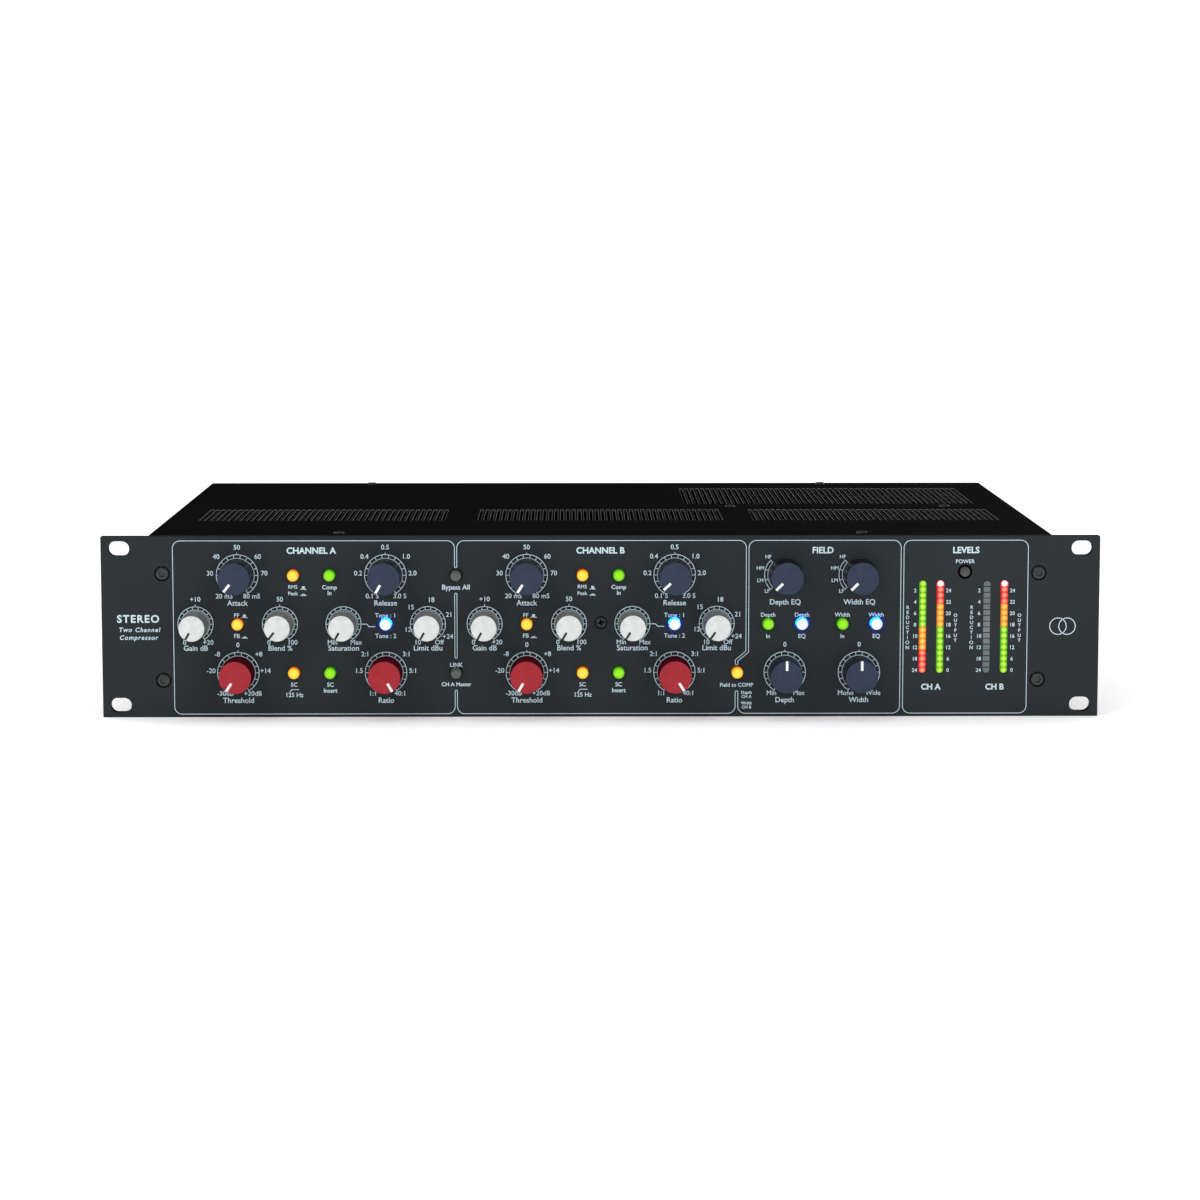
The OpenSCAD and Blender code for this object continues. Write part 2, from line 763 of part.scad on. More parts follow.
// Outline of the mains socket: a rectangle with its two corners beside the earth blade cut
module inlet_outline(w, h, cut) {
    polygon([[-w / 2 + cut, -h / 2], [w / 2 - cut, -h / 2], [w / 2, -h / 2 + cut],
             [w / 2, h / 2], [-w / 2, h / 2], [-w / 2, -h / 2 + cut]]);
}

// The two current blades and the earth blade between them
function blades(y) = [[-7, y + 2], [7, y + 2], [0, y - 2]];

// Mains inlet with three blades and a fuse drawer
module mains_inlet() {
    socket_y = -3.2;
    drawer_y = 10.6;
    cavity_z = inlet_flange_t - inlet_depth;
    blade_z = cavity_z - inlet_blade_root;
    on_rear(inlet_x) {
        color("#17181a") difference() {
            union() {
                linear_extrude(inlet_flange_t) difference() {
                    square(inlet_flange, center = true);
                    for (s = [-1, 1]) translate([s * inlet_screw_x, 0]) circle(d = m3_d + cutout_play);
                }
                translate([-inlet_body[0] / 2, -inlet_body[1] / 2, past - inlet_body[2]]) cube(inlet_body);
            }
            translate([0, socket_y, cavity_z]) linear_extrude(inlet_depth + past)
                inlet_outline(inlet_cavity[0], inlet_cavity[1], inlet_corner);
            for (b = blades(socket_y))
                translate([b[0], b[1], blade_z]) linear_extrude(inlet_blade_root + past)
                    square([inlet_blade[0] + 2 * fit_gap, inlet_blade[1] + 2 * fit_gap], center = true);
            translate([0, drawer_y, drawer_back]) linear_extrude(drawer[2] + past)
                square([drawer[0] + drawer_slot_play, drawer[1] + drawer_slot_play], center = true);
        }
        color("#c8c4b8") for (b = blades(socket_y)) translate([b[0], b[1], blade_z + fit_gap])
            linear_extrude(inlet_blade_l + inlet_blade_root) square(inlet_blade, center = true);
        color("#222326") difference() {
            translate([0, drawer_y, drawer_back + 0.1]) linear_extrude(drawer[2])
                square([drawer[0], drawer[1]], center = true);
            translate([0, drawer_y, drawer_back + drawer[2] - 0.9]) linear_extrude(2)
                square([6, 3], center = true);
        }
    }
}

// Posts under the power board: x, y
function power_posts() =
    [for (x = [power_x0 + 4, power_x1 - 4], y = [power_y0 + 4, power_y1 - 4]) [x, y]];

// Posts of the upright board: x, z
function control_posts() = [for (x = [-207, -58.5, 79, 207], z = [-34, 34]) [x, z]];

// A hexagonal post of height h on z = 0 with a screw through the board on top of it
module post(h) {
    shank = min(case_screw_l, h - 1);
    top = h + board_t + 2 * fit_gap;
    color("#b9a45a") difference() {
        hex(post_af, h);
        translate([0, 0, h - shank - 0.5]) cylinder(d = m3_d + 2 * fit_gap, h = shank + past);
    }
    color("#8f9194") difference() {
        union() {
            translate([0, 0, h - shank]) cylinder(d = m3_d, h = shank + board_t + past);
            translate([0, 0, top]) cylinder(d1 = post_af, d2 = post_af - head_taper, h = post_head_t);
        }
        cross_recess(2.6, top + 0.7);
    }
}

module board_standoffs() {
    for (p = concat(main_posts, power_posts())) translate([p[0], p[1], floor_z + fit_gap])
        post(main_z - floor_z - 2 * fit_gap);
    for (p = control_posts()) translate([p[0], wall + fit_gap, p[1]]) rotate([-90, 0, 0])
        post(board_y - wall - 2 * fit_gap);
}

// One knob with its pointer and the shaft that it is fixed to, turned to its rest angle
module knob(k) {
    face_r = (k[4] ? large_knob_d : small_knob_d) / 2;
    foot_r = face_r + knob_taper / 2;
    h = knob_reach - knob_gap;
    bore_r = shaft_d / 2 + fit_gap;
    bore_end = h - shaft_in_knob;
    pointer_w = (k[4] ? large_pointer : small_pointer)[0];
    pointer_from = (k[4] ? large_pointer : small_pointer)[1];
    pointer_to = face_r - pointer_end;
    facing(k[1], -panel_t - knob_gap, k[2]) rotate(-k[3]) {
        color(k[5] == "silver" ? "#dfe3e1" : k[5] == "red" ? "#b5283c" : "#38415a") difference() {
            rotate_extrude() polygon([
                [bore_r, knob_recess], [knob_recess_d / 2, knob_recess], [knob_recess_d / 2, 0],
                [foot_r, 0], [face_r, h - knob_edge], [face_r - knob_edge, h],
                [0, h], [0, bore_end], [bore_r, bore_end],
            ]);
            translate([-pointer_w / 2, pointer_from, h - pointer_t])
                cube([pointer_w, pointer_to - pointer_from, 2]);
        }
        color(k[5] == "silver" ? "#1a1a1a" : "#f4f4f2")
            translate([-pointer_w / 2 + fit_gap, pointer_from + fit_gap, h - pointer_t + fit_gap])
                cube([pointer_w - 2 * fit_gap, pointer_to - pointer_from - 2 * fit_gap, pointer_t]);
        color("#a8aaac") translate([0, 0, -panel_t - knob_gap - shaft_tail])
            cylinder(d = shaft_d, h = panel_t + knob_gap + shaft_tail + bore_end - 0.1);
    }
}

// One push button: cap and plunger
module button(b, cap_d, reach) {
    cap_back = wall + 1;
    bevel_y = -panel_t - reach + cap_bevel;
    color(b[3]) difference() {
        union() {
            rod(b[1], b[2], bevel_y, cap_back, cap_d);
            facing(b[1], bevel_y, b[2]) cylinder(d1 = cap_d, d2 = cap_d - 2 * cap_bevel, h = cap_bevel);
        }
        rod(b[1], b[2], cap_back - stem_in_cap, cap_back + past, stem_d + 2 * fit_gap);
    }
    color("#e8e6e0") rod(b[1], b[2], cap_back - stem_in_cap + fit_gap, stem_end_y, stem_d);
}

front_panel();
panel_screws();
chassis_tray();
top_cover();
rear_panel();
case_screws();
potentiometers();
pot_nuts();
push_switches();
control_board();
meter_lenses();
main_board();
audio_transformers();
mains_transformer();
power_board();
psu_bracket();
xlr_sockets();
jack_sockets();
mains_inlet();
board_standoffs();
for (k = knobs) knob(k);
for (b = buttons) button(b, button_d, button_reach);
button(["power_button", power_x, power_z, "black"], power_d, power_reach);  // power_button
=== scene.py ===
import json
from math import cos, pi, radians, sin, sqrt

import bmesh
import bpy
from mathutils import Matrix, Vector
from mathutils.geometry import delaunay_2d_cdt


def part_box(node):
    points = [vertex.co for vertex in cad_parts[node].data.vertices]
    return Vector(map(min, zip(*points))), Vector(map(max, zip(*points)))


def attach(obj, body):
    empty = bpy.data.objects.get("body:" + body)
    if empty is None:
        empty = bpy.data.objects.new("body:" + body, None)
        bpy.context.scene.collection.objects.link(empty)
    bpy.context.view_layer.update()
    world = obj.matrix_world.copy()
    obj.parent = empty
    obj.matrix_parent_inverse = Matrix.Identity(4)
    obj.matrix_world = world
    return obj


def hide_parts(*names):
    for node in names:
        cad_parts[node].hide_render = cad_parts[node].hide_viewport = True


# The looks of a two-channel stereo compressor in a two-unit rack case.
# Shapes are drawn in millimetres: x to the right, z up, and y from the front to the back.
# Outlines on the front panel are drawn in x and z, and their levels are values of y.

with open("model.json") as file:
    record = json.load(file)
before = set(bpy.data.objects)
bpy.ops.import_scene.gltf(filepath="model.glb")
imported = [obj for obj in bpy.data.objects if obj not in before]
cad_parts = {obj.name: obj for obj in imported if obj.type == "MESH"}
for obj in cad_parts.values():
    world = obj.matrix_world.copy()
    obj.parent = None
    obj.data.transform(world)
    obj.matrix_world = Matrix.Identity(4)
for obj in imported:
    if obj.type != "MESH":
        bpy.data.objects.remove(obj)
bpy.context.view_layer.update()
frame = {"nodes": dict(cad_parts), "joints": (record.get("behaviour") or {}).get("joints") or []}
NODES = frame["nodes"]
JOINTS = {joint["child"]: joint for joint in frame["joints"]}
MM = 0.001


def box_mm(node):
    """Lowest and highest corner of a CAD node, in millimetres."""
    low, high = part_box(node)
    return low / MM, high / MM


def axis_of(node):
    """Where a knob's or a button's axis meets the panel: x and z in millimetres."""
    low, high = box_mm(node)
    return round((low.x + high.x) / 2, 2), round((low.z + high.z) / 2, 2)


# ---- Measures ----

panel_low, panel_high = box_mm("front_panel")
FACE_Y = panel_low.y
PANEL_W = panel_high.x - panel_low.x
PANEL_H = panel_high.z - panel_low.z
cover_low, cover_high = box_mm("top_cover")
RACK_SPAN = (465.1, 76.2)
RACK_SLOT = (10.2, 7.1)
PANEL_EDGE = 0.3
HOLE_EDGE = 0.12
EAR_SCREW = (211.8, 26.0)
EAR_HEAD_D = 6.3
EAR_RECESS_D = 7.5
CENTRE_SCREW = (0.0, 2.0)
CENTRE_HEAD_D = 5.3
CENTRE_RECESS_D = 6.2
BUSH_HOLE_D = 7.2
CHANNEL_PITCH = 139.7
ATTACK_X = axis_of("attack_knob_a")[0]
RELEASE_X = axis_of("release_knob_a")[0]
TOP_Z = axis_of("attack_knob_a")[1]
MIDDLE_Z = axis_of("gain_knob_a")[1]
LOW_Z = axis_of("threshold_knob_a")[1]
SIDE_STEP = ATTACK_X - axis_of("gain_knob_a")[0]
INNER_STEP = 27.0
SHARED_X = axis_of("bypass_button")[0]
POWER = axis_of("power_button")
METER_X = (155.75, 164.25, 186.75, 195.25)
METER_Z = -0.3
METER_SIZE = (3.4, 45.0)
METER_PLAY = 0.2
METER_LAMPS = 16
KNOB_GAP = 0.8
KNOB_REACH = 18.0
KNOB_TAPER = 0.9
KNOB_D = {"large": 15.6, "small": 12.4}
KNOB_STEPS = 96
POINTER_W = {"large": 1.2, "small": 1.05}
POINTER_FROM = {"large": 3.2, "small": 2.3}
SHAFT_D = 6.0
BUTTON_D = 5.5
BUTTON_PLAY = 0.6
BUTTON_REACH = 3.2
BUTTON_EDGE = 0.7
BUTTON_STEM_END = 11.0
FOOT_H = 0.6
POWER_D = 5.0
POWER_PLAY = 2
POWER_REACH = 1.2
VENTS = ((-141, 83, 141, 42), (0.5, 83, 141, 42), (141, 83, 141, 42), (123.8, 174, 267, 52))
VENT_W = 1.5
VENT_PITCH = 3.0
VENT_EDGE = 0.2
COVER_SCREWS = ((-128, 20), (128, 20), (-128, 297), (128, 297), (70, 159), (184, 159))
COVER_SCREW_HOLE_D = 3.4
PRINT_T = 0.03
PRINT_GAP = 0.005


# ---- Materials ----

GLOSS_SPREAD = 0.07
GRAIN_DEPTH = 0.0002
TURNED_RINGS = 520.0
TURNED_DEPTH = 0.00005


def surface(name, dark, light, rough, metal=0.0, grain=2500.0, patches=60.0, bump=0.05, specular=0.5,
            coat=0.0):
    """A finish whose colour and gloss vary a little in patches, with a fine grain in relief."""
    made = bpy.data.materials.new(name)
    made.use_nodes = True
    nodes, links = made.node_tree.nodes, made.node_tree.links
    shader = nodes["Principled BSDF"]
    shader.inputs["Metallic"].default_value = metal
    shader.inputs["Specular IOR Level"].default_value = specular
    shader.inputs["Coat Weight"].default_value = coat
    shader.inputs["Coat Roughness"].default_value = 0.15
    coords = nodes.new("ShaderNodeTexCoord")
    blotches = nodes.new("ShaderNodeTexNoise")
    blotches.inputs["Scale"].default_value = patches
    blotches.inputs["Detail"].default_value = 4.0
    links.new(coords.outputs["Object"], blotches.inputs["Vector"])
    tint = nodes.new("ShaderNodeValToRGB")
    tint.color_ramp.elements[0].position = 0.3
    tint.color_ramp.elements[0].color = (*dark, 1.0)
    tint.color_ramp.elements[1].position = 0.7
    tint.color_ramp.elements[1].color = (*light, 1.0)
    links.new(blotches.outputs["Fac"], tint.inputs["Fac"])
    links.new(tint.outputs["Color"], shader.inputs["Base Color"])
    speckle = nodes.new("ShaderNodeTexNoise")
    speckle.inputs["Scale"].default_value = grain
    speckle.inputs["Detail"].default_value = 2.0
    links.new(coords.outputs["Object"], speckle.inputs["Vector"])
    gloss = nodes.new("ShaderNodeMapRange")
    gloss.inputs["To Min"].default_value = rough - GLOSS_SPREAD
    gloss.inputs["To Max"].default_value = rough + GLOSS_SPREAD
    links.new(speckle.outputs["Fac"], gloss.inputs["Value"])
    links.new(gloss.outputs["Result"], shader.inputs["Roughness"])
    relief = nodes.new("ShaderNodeBump")
    relief.inputs["Strength"].default_value = bump
    relief.inputs["Distance"].default_value = GRAIN_DEPTH
    links.new(speckle.outputs["Fac"], relief.inputs["Height"])
    links.new(relief.outputs["Normal"], shader.inputs["Normal"])
    return made


def turned(name, dark, light, rough, metal, specular):
    """A turned finish: fine rings in relief about the piece's own y axis."""
    made = surface(name, dark, light, rough, metal=metal, patches=220.0, bump=0.03, specular=specular)
    nodes, links = made.node_tree.nodes, made.node_tree.links
    coords = nodes.new("ShaderNodeTexCoord")
    wave = nodes.new("ShaderNodeTexWave")
    wave.wave_type = "RINGS"
    wave.rings_direction = "Y"
    wave.inputs["Scale"].default_value = TURNED_RINGS
    wave.inputs["Distortion"].default_value = 0.6
    links.new(coords.outputs["Object"], wave.inputs["Vector"])
    relief = nodes.new("ShaderNodeBump")
    relief.inputs["Strength"].default_value = 0.06
    relief.inputs["Distance"].default_value = TURNED_DEPTH
    links.new(wave.outputs["Fac"], relief.inputs["Height"])
    links.new(relief.outputs["Normal"], nodes["Principled BSDF"].inputs["Normal"])
    return made


def lamp(name, core, rim, strength, radius, base, bar=False, core_share=0.4):
    """Lit plastic, whose glow goes from core to rim within radius, in mm.

    The glow of a bar repeats in each of its lamps' cells.
    """
    made = surface(name, base, base, 0.3, grain=900.0, bump=0.02, specular=0.3)
    nodes, links = made.node_tree.nodes, made.node_tree.links
    shader = nodes["Principled BSDF"]
    coords = nodes.new("ShaderNodeTexCoord")
    flat = nodes.new("ShaderNodeVectorMath")
    flat.operation = "MULTIPLY"
    flat.inputs[1].default_value = (1.0, 0.0, 1.0)
    links.new(coords.outputs["Object"], flat.inputs[0])
    distance = nodes.new("ShaderNodeVectorMath")
    distance.operation = "LENGTH"
    if bar:
        pitch = METER_SIZE[1] / METER_LAMPS * MM
        cells = nodes.new("ShaderNodeVectorMath")
        cells.operation = "SUBTRACT"
        cells.inputs[1].default_value = (0.0, 0.0, -METER_SIZE[1] / 2 * MM)
        links.new(flat.outputs["Vector"], cells.inputs[0])
        wrapped = nodes.new("ShaderNodeVectorMath")
        wrapped.operation = "WRAP"
        wrapped.inputs[1].default_value = (1.0, 1.0, pitch)
        wrapped.inputs[2].default_value = (-1.0, -1.0, 0.0)
        links.new(cells.outputs["Vector"], wrapped.inputs[0])
        centred = nodes.new("ShaderNodeVectorMath")
        centred.operation = "SUBTRACT"
        centred.inputs[1].default_value = (0.0, 0.0, pitch / 2)
        links.new(wrapped.outputs["Vector"], centred.inputs[0])
        links.new(centred.outputs["Vector"], distance.inputs[0])
    else:
        links.new(flat.outputs["Vector"], distance.inputs[0])
    share = nodes.new("ShaderNodeMapRange")
    share.inputs["From Max"].default_value = radius * MM
    links.new(distance.outputs["Value"], share.inputs["Value"])
    glow = nodes.new("ShaderNodeValToRGB")
    glow.color_ramp.elements[0].position = core_share
    glow.color_ramp.elements[0].color = (*core, 1.0)
    glow.color_ramp.elements[1].position = 1.0
    glow.color_ramp.elements[1].color = (*rim, 1.0)
    links.new(share.outputs["Result"], glow.inputs["Fac"])
    links.new(glow.outputs["Color"], shader.inputs["Emission Color"])
    shader.inputs["Emission Strength"].default_value = strength
    return made


PANEL = surface("panel_anodised", (0.0155, 0.0195, 0.0220), (0.0190, 0.0240, 0.0270), 0.5, specular=0.15,
                grain=3500.0, patches=9.0, bump=0.06)
LEGEND = surface("panel_print", (0.47, 0.60, 0.67), (0.54, 0.69, 0.76), 0.6, specular=0.1, patches=900.0)
POWDER = surface("case_paint", (0.0020, 0.0020, 0.0022), (0.0032, 0.0032, 0.0034), 0.66, specular=0.06,
                 grain=2200.0, patches=30.0, bump=0.35)
# The rounded edges of the cover's slots are lighter than the paint: a painted highlight for the light they
# catch.
SLOT_EDGE_HIGHLIGHT = surface("case_slot_edge_highlight", (0.100, 0.101, 0.106), (0.155, 0.156, 0.162), 0.5,
                    grain=1200.0, patches=300.0)
BLACK_STEEL = surface("black_steel", (0.032, 0.034, 0.035), (0.054, 0.056, 0.058), 0.32, metal=0.5,
                      grain=1500.0, patches=400.0, bump=0.12)
PLATED = surface("plated_steel", (0.42, 0.41, 0.39), (0.55, 0.54, 0.52), 0.28, metal=1.0, patches=150.0)
MOULDING = surface("black_moulding", (0.012, 0.012, 0.013), (0.02, 0.02, 0.021), 0.45,
                   grain=1800.0, bump=0.1)
SHELL = surface("connector_shell", (0.020, 0.020, 0.021), (0.032, 0.032, 0.034), 0.36,
                metal=0.4, bump=0.1)
CONTACT = surface("contact_metal", (0.62, 0.55, 0.38), (0.72, 0.65, 0.47), 0.22,
                  metal=1.0, patches=300.0)
BOARD = surface("circuit_board", (0.012, 0.055, 0.025), (0.018, 0.08, 0.036), 0.4,
                grain=900.0, patches=250.0, coat=0.3)
CHIP = surface("chip_case", (0.012, 0.012, 0.013), (0.02, 0.02, 0.021), 0.5)
RELAY = surface("relay_case", (0.55, 0.53, 0.47), (0.66, 0.64, 0.58), 0.4)
CAPACITOR = surface("capacitor_sleeve", (0.012, 0.022, 0.06), (0.018, 0.032, 0.085), 0.3, coat=0.3)
CONTROL = surface("control_body", (0.03, 0.09, 0.05), (0.045, 0.12, 0.07), 0.45)
CAN = surface("transformer_can", (0.20, 0.21, 0.22), (0.29, 0.30, 0.31), 0.35,
              metal=0.9, patches=80.0, bump=0.1)
WINDING = surface("toroid_winding", (0.40, 0.24, 0.03), (0.62, 0.42, 0.08), 0.35,
                  grain=700.0, patches=500.0, bump=0.6, coat=0.4)
BRASS = surface("brass_post", (0.42, 0.31, 0.10), (0.52, 0.40, 0.16), 0.3, metal=1.0, patches=200.0)
FINS = surface("heatsink", (0.02, 0.02, 0.022), (0.032, 0.032, 0.034), 0.5, metal=0.4)


def knob_finishes_with_painted_light(colour, side, face, rim, pointer, side_shine=0.45):
    """Side, face, foot rim and pointer of a knob, each from the middle of its colour. The side's darker
    colour is painted shade and the foot rim's lighter colour a painted highlight.
    """
    def spread(tone):
        return [c * 0.9 for c in tone], [c * 1.1 for c in tone]

    return (
        turned(f"knob_{colour}_side", *spread(side), 0.34, metal=side_shine / 2, specular=side_shine),
        turned(f"knob_{colour}_face", *spread(face), 0.5, metal=0.0, specular=0.2),
        turned(f"knob_{colour}_rim", *spread(rim), 0.3, metal=0.3, specular=0.6),
        surface(f"knob_{colour}_pointer", *spread(pointer), 0.5),
    )


# Each knob is one material: its side tone is painted shade and its foot rim tone a painted highlight, while
# face and pointer hold its own colours.
KNOB_FINISH = {
    "silver": knob_finishes_with_painted_light("silver", (0.190, 0.192, 0.186), (0.57, 0.585, 0.577), (0.50, 0.50, 0.49),
                            (0.008, 0.008, 0.008)),
    "blue": knob_finishes_with_painted_light("blue", (0.0045, 0.0045, 0.0065), (0.023, 0.034, 0.064), (0.020, 0.022, 0.028),
                          (0.80, 0.80, 0.78)),
    "red": knob_finishes_with_painted_light("red", (0.058, 0.005, 0.010), (0.315, 0.016, 0.026), (0.090, 0.004, 0.010),
                         (0.80, 0.80, 0.78), side_shine=0.0),
}
CAP_R = BUTTON_D / 2
CAP_FINISH = {
    "lamp_amber": lamp("lamp_amber", (1.0, 0.76, 0.08), (0.88, 0.36, 0.010), 1.0, CAP_R,
                       (0.14, 0.07, 0.003), core_share=0.55),
    "lamp_green": lamp("lamp_green", (0.33, 0.80, 0.004), (0.09, 0.42, 0.003), 1.0, CAP_R,
                       (0.02, 0.09, 0.002), core_share=0.5),
    "lamp_white": lamp("lamp_white", (0.76, 0.84, 0.94), (0.10, 0.30, 1.0), 1.2, CAP_R,
                       (0.15, 0.18, 0.22), core_share=0.82),
    "lamp_unlit": surface("lamp_unlit", (0.035, 0.038, 0.034), (0.055, 0.059, 0.053), 0.25, coat=0.6),
    "button_black": surface("button_black", (0.034, 0.035, 0.036), (0.052, 0.053, 0.054), 0.35, bump=0.1),
}
CAP_SIDE = {
    "lamp_amber": lamp("lamp_amber_side", (0.50, 0.11, 0.001), (0.35, 0.06, 0.001), 1.2, CAP_R,
                       (0.10, 0.03, 0.001)),
    "lamp_green": lamp("lamp_green_side", (0.03, 0.30, 0.001), (0.01, 0.16, 0.001), 1.2, CAP_R,
                       (0.01, 0.06, 0.001)),
    "lamp_white": lamp("lamp_white_side", (0.002, 0.07, 0.8), (0.002, 0.06, 0.7), 1.0, CAP_R,
                       (0.01, 0.02, 0.20)),
}
# A white lamp's cap is blue at its foot, which lights the panel close around it.
CAP_FOOT = {
    "lamp_white": lamp("lamp_white_foot", (0.0005, 0.09, 1.0), (0.0005, 0.08, 1.0), 40.0, CAP_R,
                       (0.01, 0.02, 0.20)),
}
BAR_CELL = 1.6
BAR_FINISH = {
    "green": lamp("bar_green", (0.60, 0.98, 0.06), (0.06, 0.32, 0.004), 1.0, BAR_CELL,
                  (0.02, 0.08, 0.003), bar=True),
    "amber": lamp("bar_amber", (1.0, 0.66, 0.11), (0.62, 0.15, 0.006), 1.0, BAR_CELL,
                  (0.12, 0.03, 0.002), bar=True),
    "red": lamp("bar_red", (1.0, 0.50, 0.28), (0.72, 0.003, 0.014), 1.0, BAR_CELL,
                (0.12, 0.004, 0.004), bar=True, core_share=0.05),
    "bright": lamp("bar_bright", (1.0, 0.80, 0.74), (1.0, 0.02, 0.04), 2.6, BAR_CELL,
                   (0.20, 0.02, 0.02), bar=True),
    "unlit": surface("bar_unlit", (0.080, 0.098, 0.105), (0.130, 0.155, 0.165), 0.35, coat=0.3),
}


# ---- Outlines: each gives its points in x and z, grown outwards by an amount ----

def round_corner_box(x, z, w, h, corner, steps=6):
    """A rectangle with rounded corners, centred on x and z."""
    def points(grow=0.0):
        r = max(corner + grow, 0.001)
        half_w, half_h = w / 2 + grow - r, h / 2 + grow - r
        made = []
        for quarter, (sx, sz) in enumerate(((1, 1), (-1, 1), (-1, -1), (1, -1))):
            for step in range(steps + 1):
                a = (quarter + step / steps) * pi / 2
                made.append((x + sx * half_w + r * cos(a), z + sz * half_h + r * sin(a)))
        return made
    return points


def circle(x, z, d, steps=40):
    def points(grow=0.0):
        r = d / 2 + grow
        angles = [2 * pi * i / steps for i in range(steps)]
        return [(x + r * cos(a), z + r * sin(a)) for a in angles]
    return points


def hexagon(x, z, across_flats):
    return circle(x, z, across_flats / cos(pi / 6), steps=6)


def cross(x, z, length, width, turn):
    """A cross of two bars, turned about its middle."""
    def points(grow=0.0):
        a, b = length / 2 + grow, width / 2 + grow
        arm = ((a, -b), (a, b), (b, b))
        made = []
        for quarter in range(4):
            c, s = cos(turn + quarter * pi / 2), sin(turn + quarter * pi / 2)
            made += [(x + px * c - pz * s, z + px * s + pz * c) for px, pz in arm]
        return made
    return points


# ---- Solids ----

def wall(bm, loops, material, closed=False):
    """Quads through loops of corners. A closed wall also joins the last loop to the first."""
    pairs = list(zip(loops, loops[1:]))
    if closed:
        pairs.append((loops[-1], loops[0]))
    for first, second in pairs:
        for i in range(len(first)):
            j = (i + 1) % len(first)
            face = bm.faces.new((first[i], first[j], second[j], second[i]))
            face.material_index = material


def loft(bm, loops, material=0):
    """A solid through loops of points. It returns the loops' corners."""
    rings = [[bm.verts.new(p) for p in loop] for loop in loops]
    wall(bm, rings, material)
    for ring in (rings[0], rings[-1]):
        bm.faces.new(ring).material_index = material
    return rings


def lathe(bm, profile, material=0, steps=64, at=(0.0, 0.0)):
    """A body turned about the y axis through at. The profile is a list of (radius, y)."""
    angles = [2 * pi * i / steps for i in range(steps)]
    loops = [[(at[0] + r * cos(a), y, at[1] + r * sin(a)) for a in angles] for r, y in profile]
    return loft(bm, loops, material)


def plate(bm, outline, holes, near, far, edge, hole_edge, material=0, hole_material=0, lying=False):
    """A flat plate between two levels. It stands in x and z, or lies in x and y.

    Its edges are rounded by edge and hole_edge. hole_material is for the rounded edges of its holes.
    """
    def spot(point, level):
        return (point[0], point[1], level) if lying else (point[0], level, point[1])

    turn = 1 if far > near else -1
    rims = [(outline, -1, edge)] + [(hole, 1, hole_edge) for hole in holes]
    quarter = (0.0, 0.5, 1.0)
    flat, loops_of, owner = [], [], []
    for number, (shape, side, e) in enumerate(rims):
        levels = [(1 - sin(q * pi / 2), 1 - cos(q * pi / 2)) for q in quarter]
        loops = [[bm.verts.new(spot(p, near + turn * e * down)) for p in shape(side * e * inset)]
                 for inset, down in levels]
        loops += [[bm.verts.new(spot(p, far - turn * e * down)) for p in shape(side * e * inset)]
                  for inset, down in reversed(levels)]
        edge_material = material if side < 0 else hole_material
        count = len(quarter)
        wall(bm, loops[:count], edge_material)
        wall(bm, loops[count - 1:count + 1], material)
        wall(bm, loops[count:], edge_material)
        flat += shape(side * e)
        loops_of.append(loops)
        owner += [number] * len(loops[0])
    starts = [owner.index(n) for n in range(len(rims))]
    edges = []
    for n, loops in enumerate(loops_of):
        count = len(loops[0])
        edges += [(starts[n] + i, starts[n] + (i + 1) % count) for i in range(count)]
    made = delaunay_2d_cdt([Vector(p) for p in flat], edges, [], 0, 1e-6)
    near_verts = [v for loops in loops_of for v in loops[0]]
    far_verts = [v for loops in loops_of for v in loops[-1]]
    origin = made[3]
    for triangle in made[2]:
        corners = [origin[i][0] for i in triangle]
        owners = {owner[i] for i in corners}
        if len(owners) == 1 and owners != {0}:
            continue
        for verts in (near_verts, far_verts):
            bm.faces.new([verts[i] for i in corners]).material_index = material


def finished(name, bm, materials, smooth=50.0):
    """The drawing as a mesh in metres, with its materials and smooth shading."""
    bmesh.ops.recalc_face_normals(bm, faces=bm.faces)
    mesh = bpy.data.meshes.new(name)
    bm.to_mesh(mesh)
    bm.free()
    mesh.transform(Matrix.Scale(MM, 4))
    for material in materials:
        mesh.materials.append(material)
    mesh.shade_smooth()
    mesh.set_sharp_from_angle(angle=radians(smooth))
    return mesh


def piece(name, mesh, stands_for=(), body="chassis", at=(0.0, 0.0, 0.0), turn=0.0):
    """The finished object, with its own zero at a point in millimetres, turned about y."""
    made = bpy.data.objects.new(name, mesh)
    made.location = Vector(at) * MM
    made.rotation_euler = (0.0, turn, 0.0)
    bpy.context.scene.collection.objects.link(made)
    # Large faces keep their own direction beside their narrow rounded edges.
    made.modifiers.new("shading", "WEIGHTED_NORMAL").keep_sharp = True
    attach(made, body)
    if stands_for:
        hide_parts(*stands_for)
    return made


def solids_of(bm):
    """The mesh's separate solids, as lists of faces."""
    left = set(bm.faces)
    found = []
    while left:
        todo = [left.pop()]
        group = []
        while todo:
            face = todo.pop()
            group.append(face)
            for edge in face.edges:
                for other in edge.link_faces:
                    if other in left:
                        left.remove(other)
                        todo.append(other)
        found.append(group)
    return found


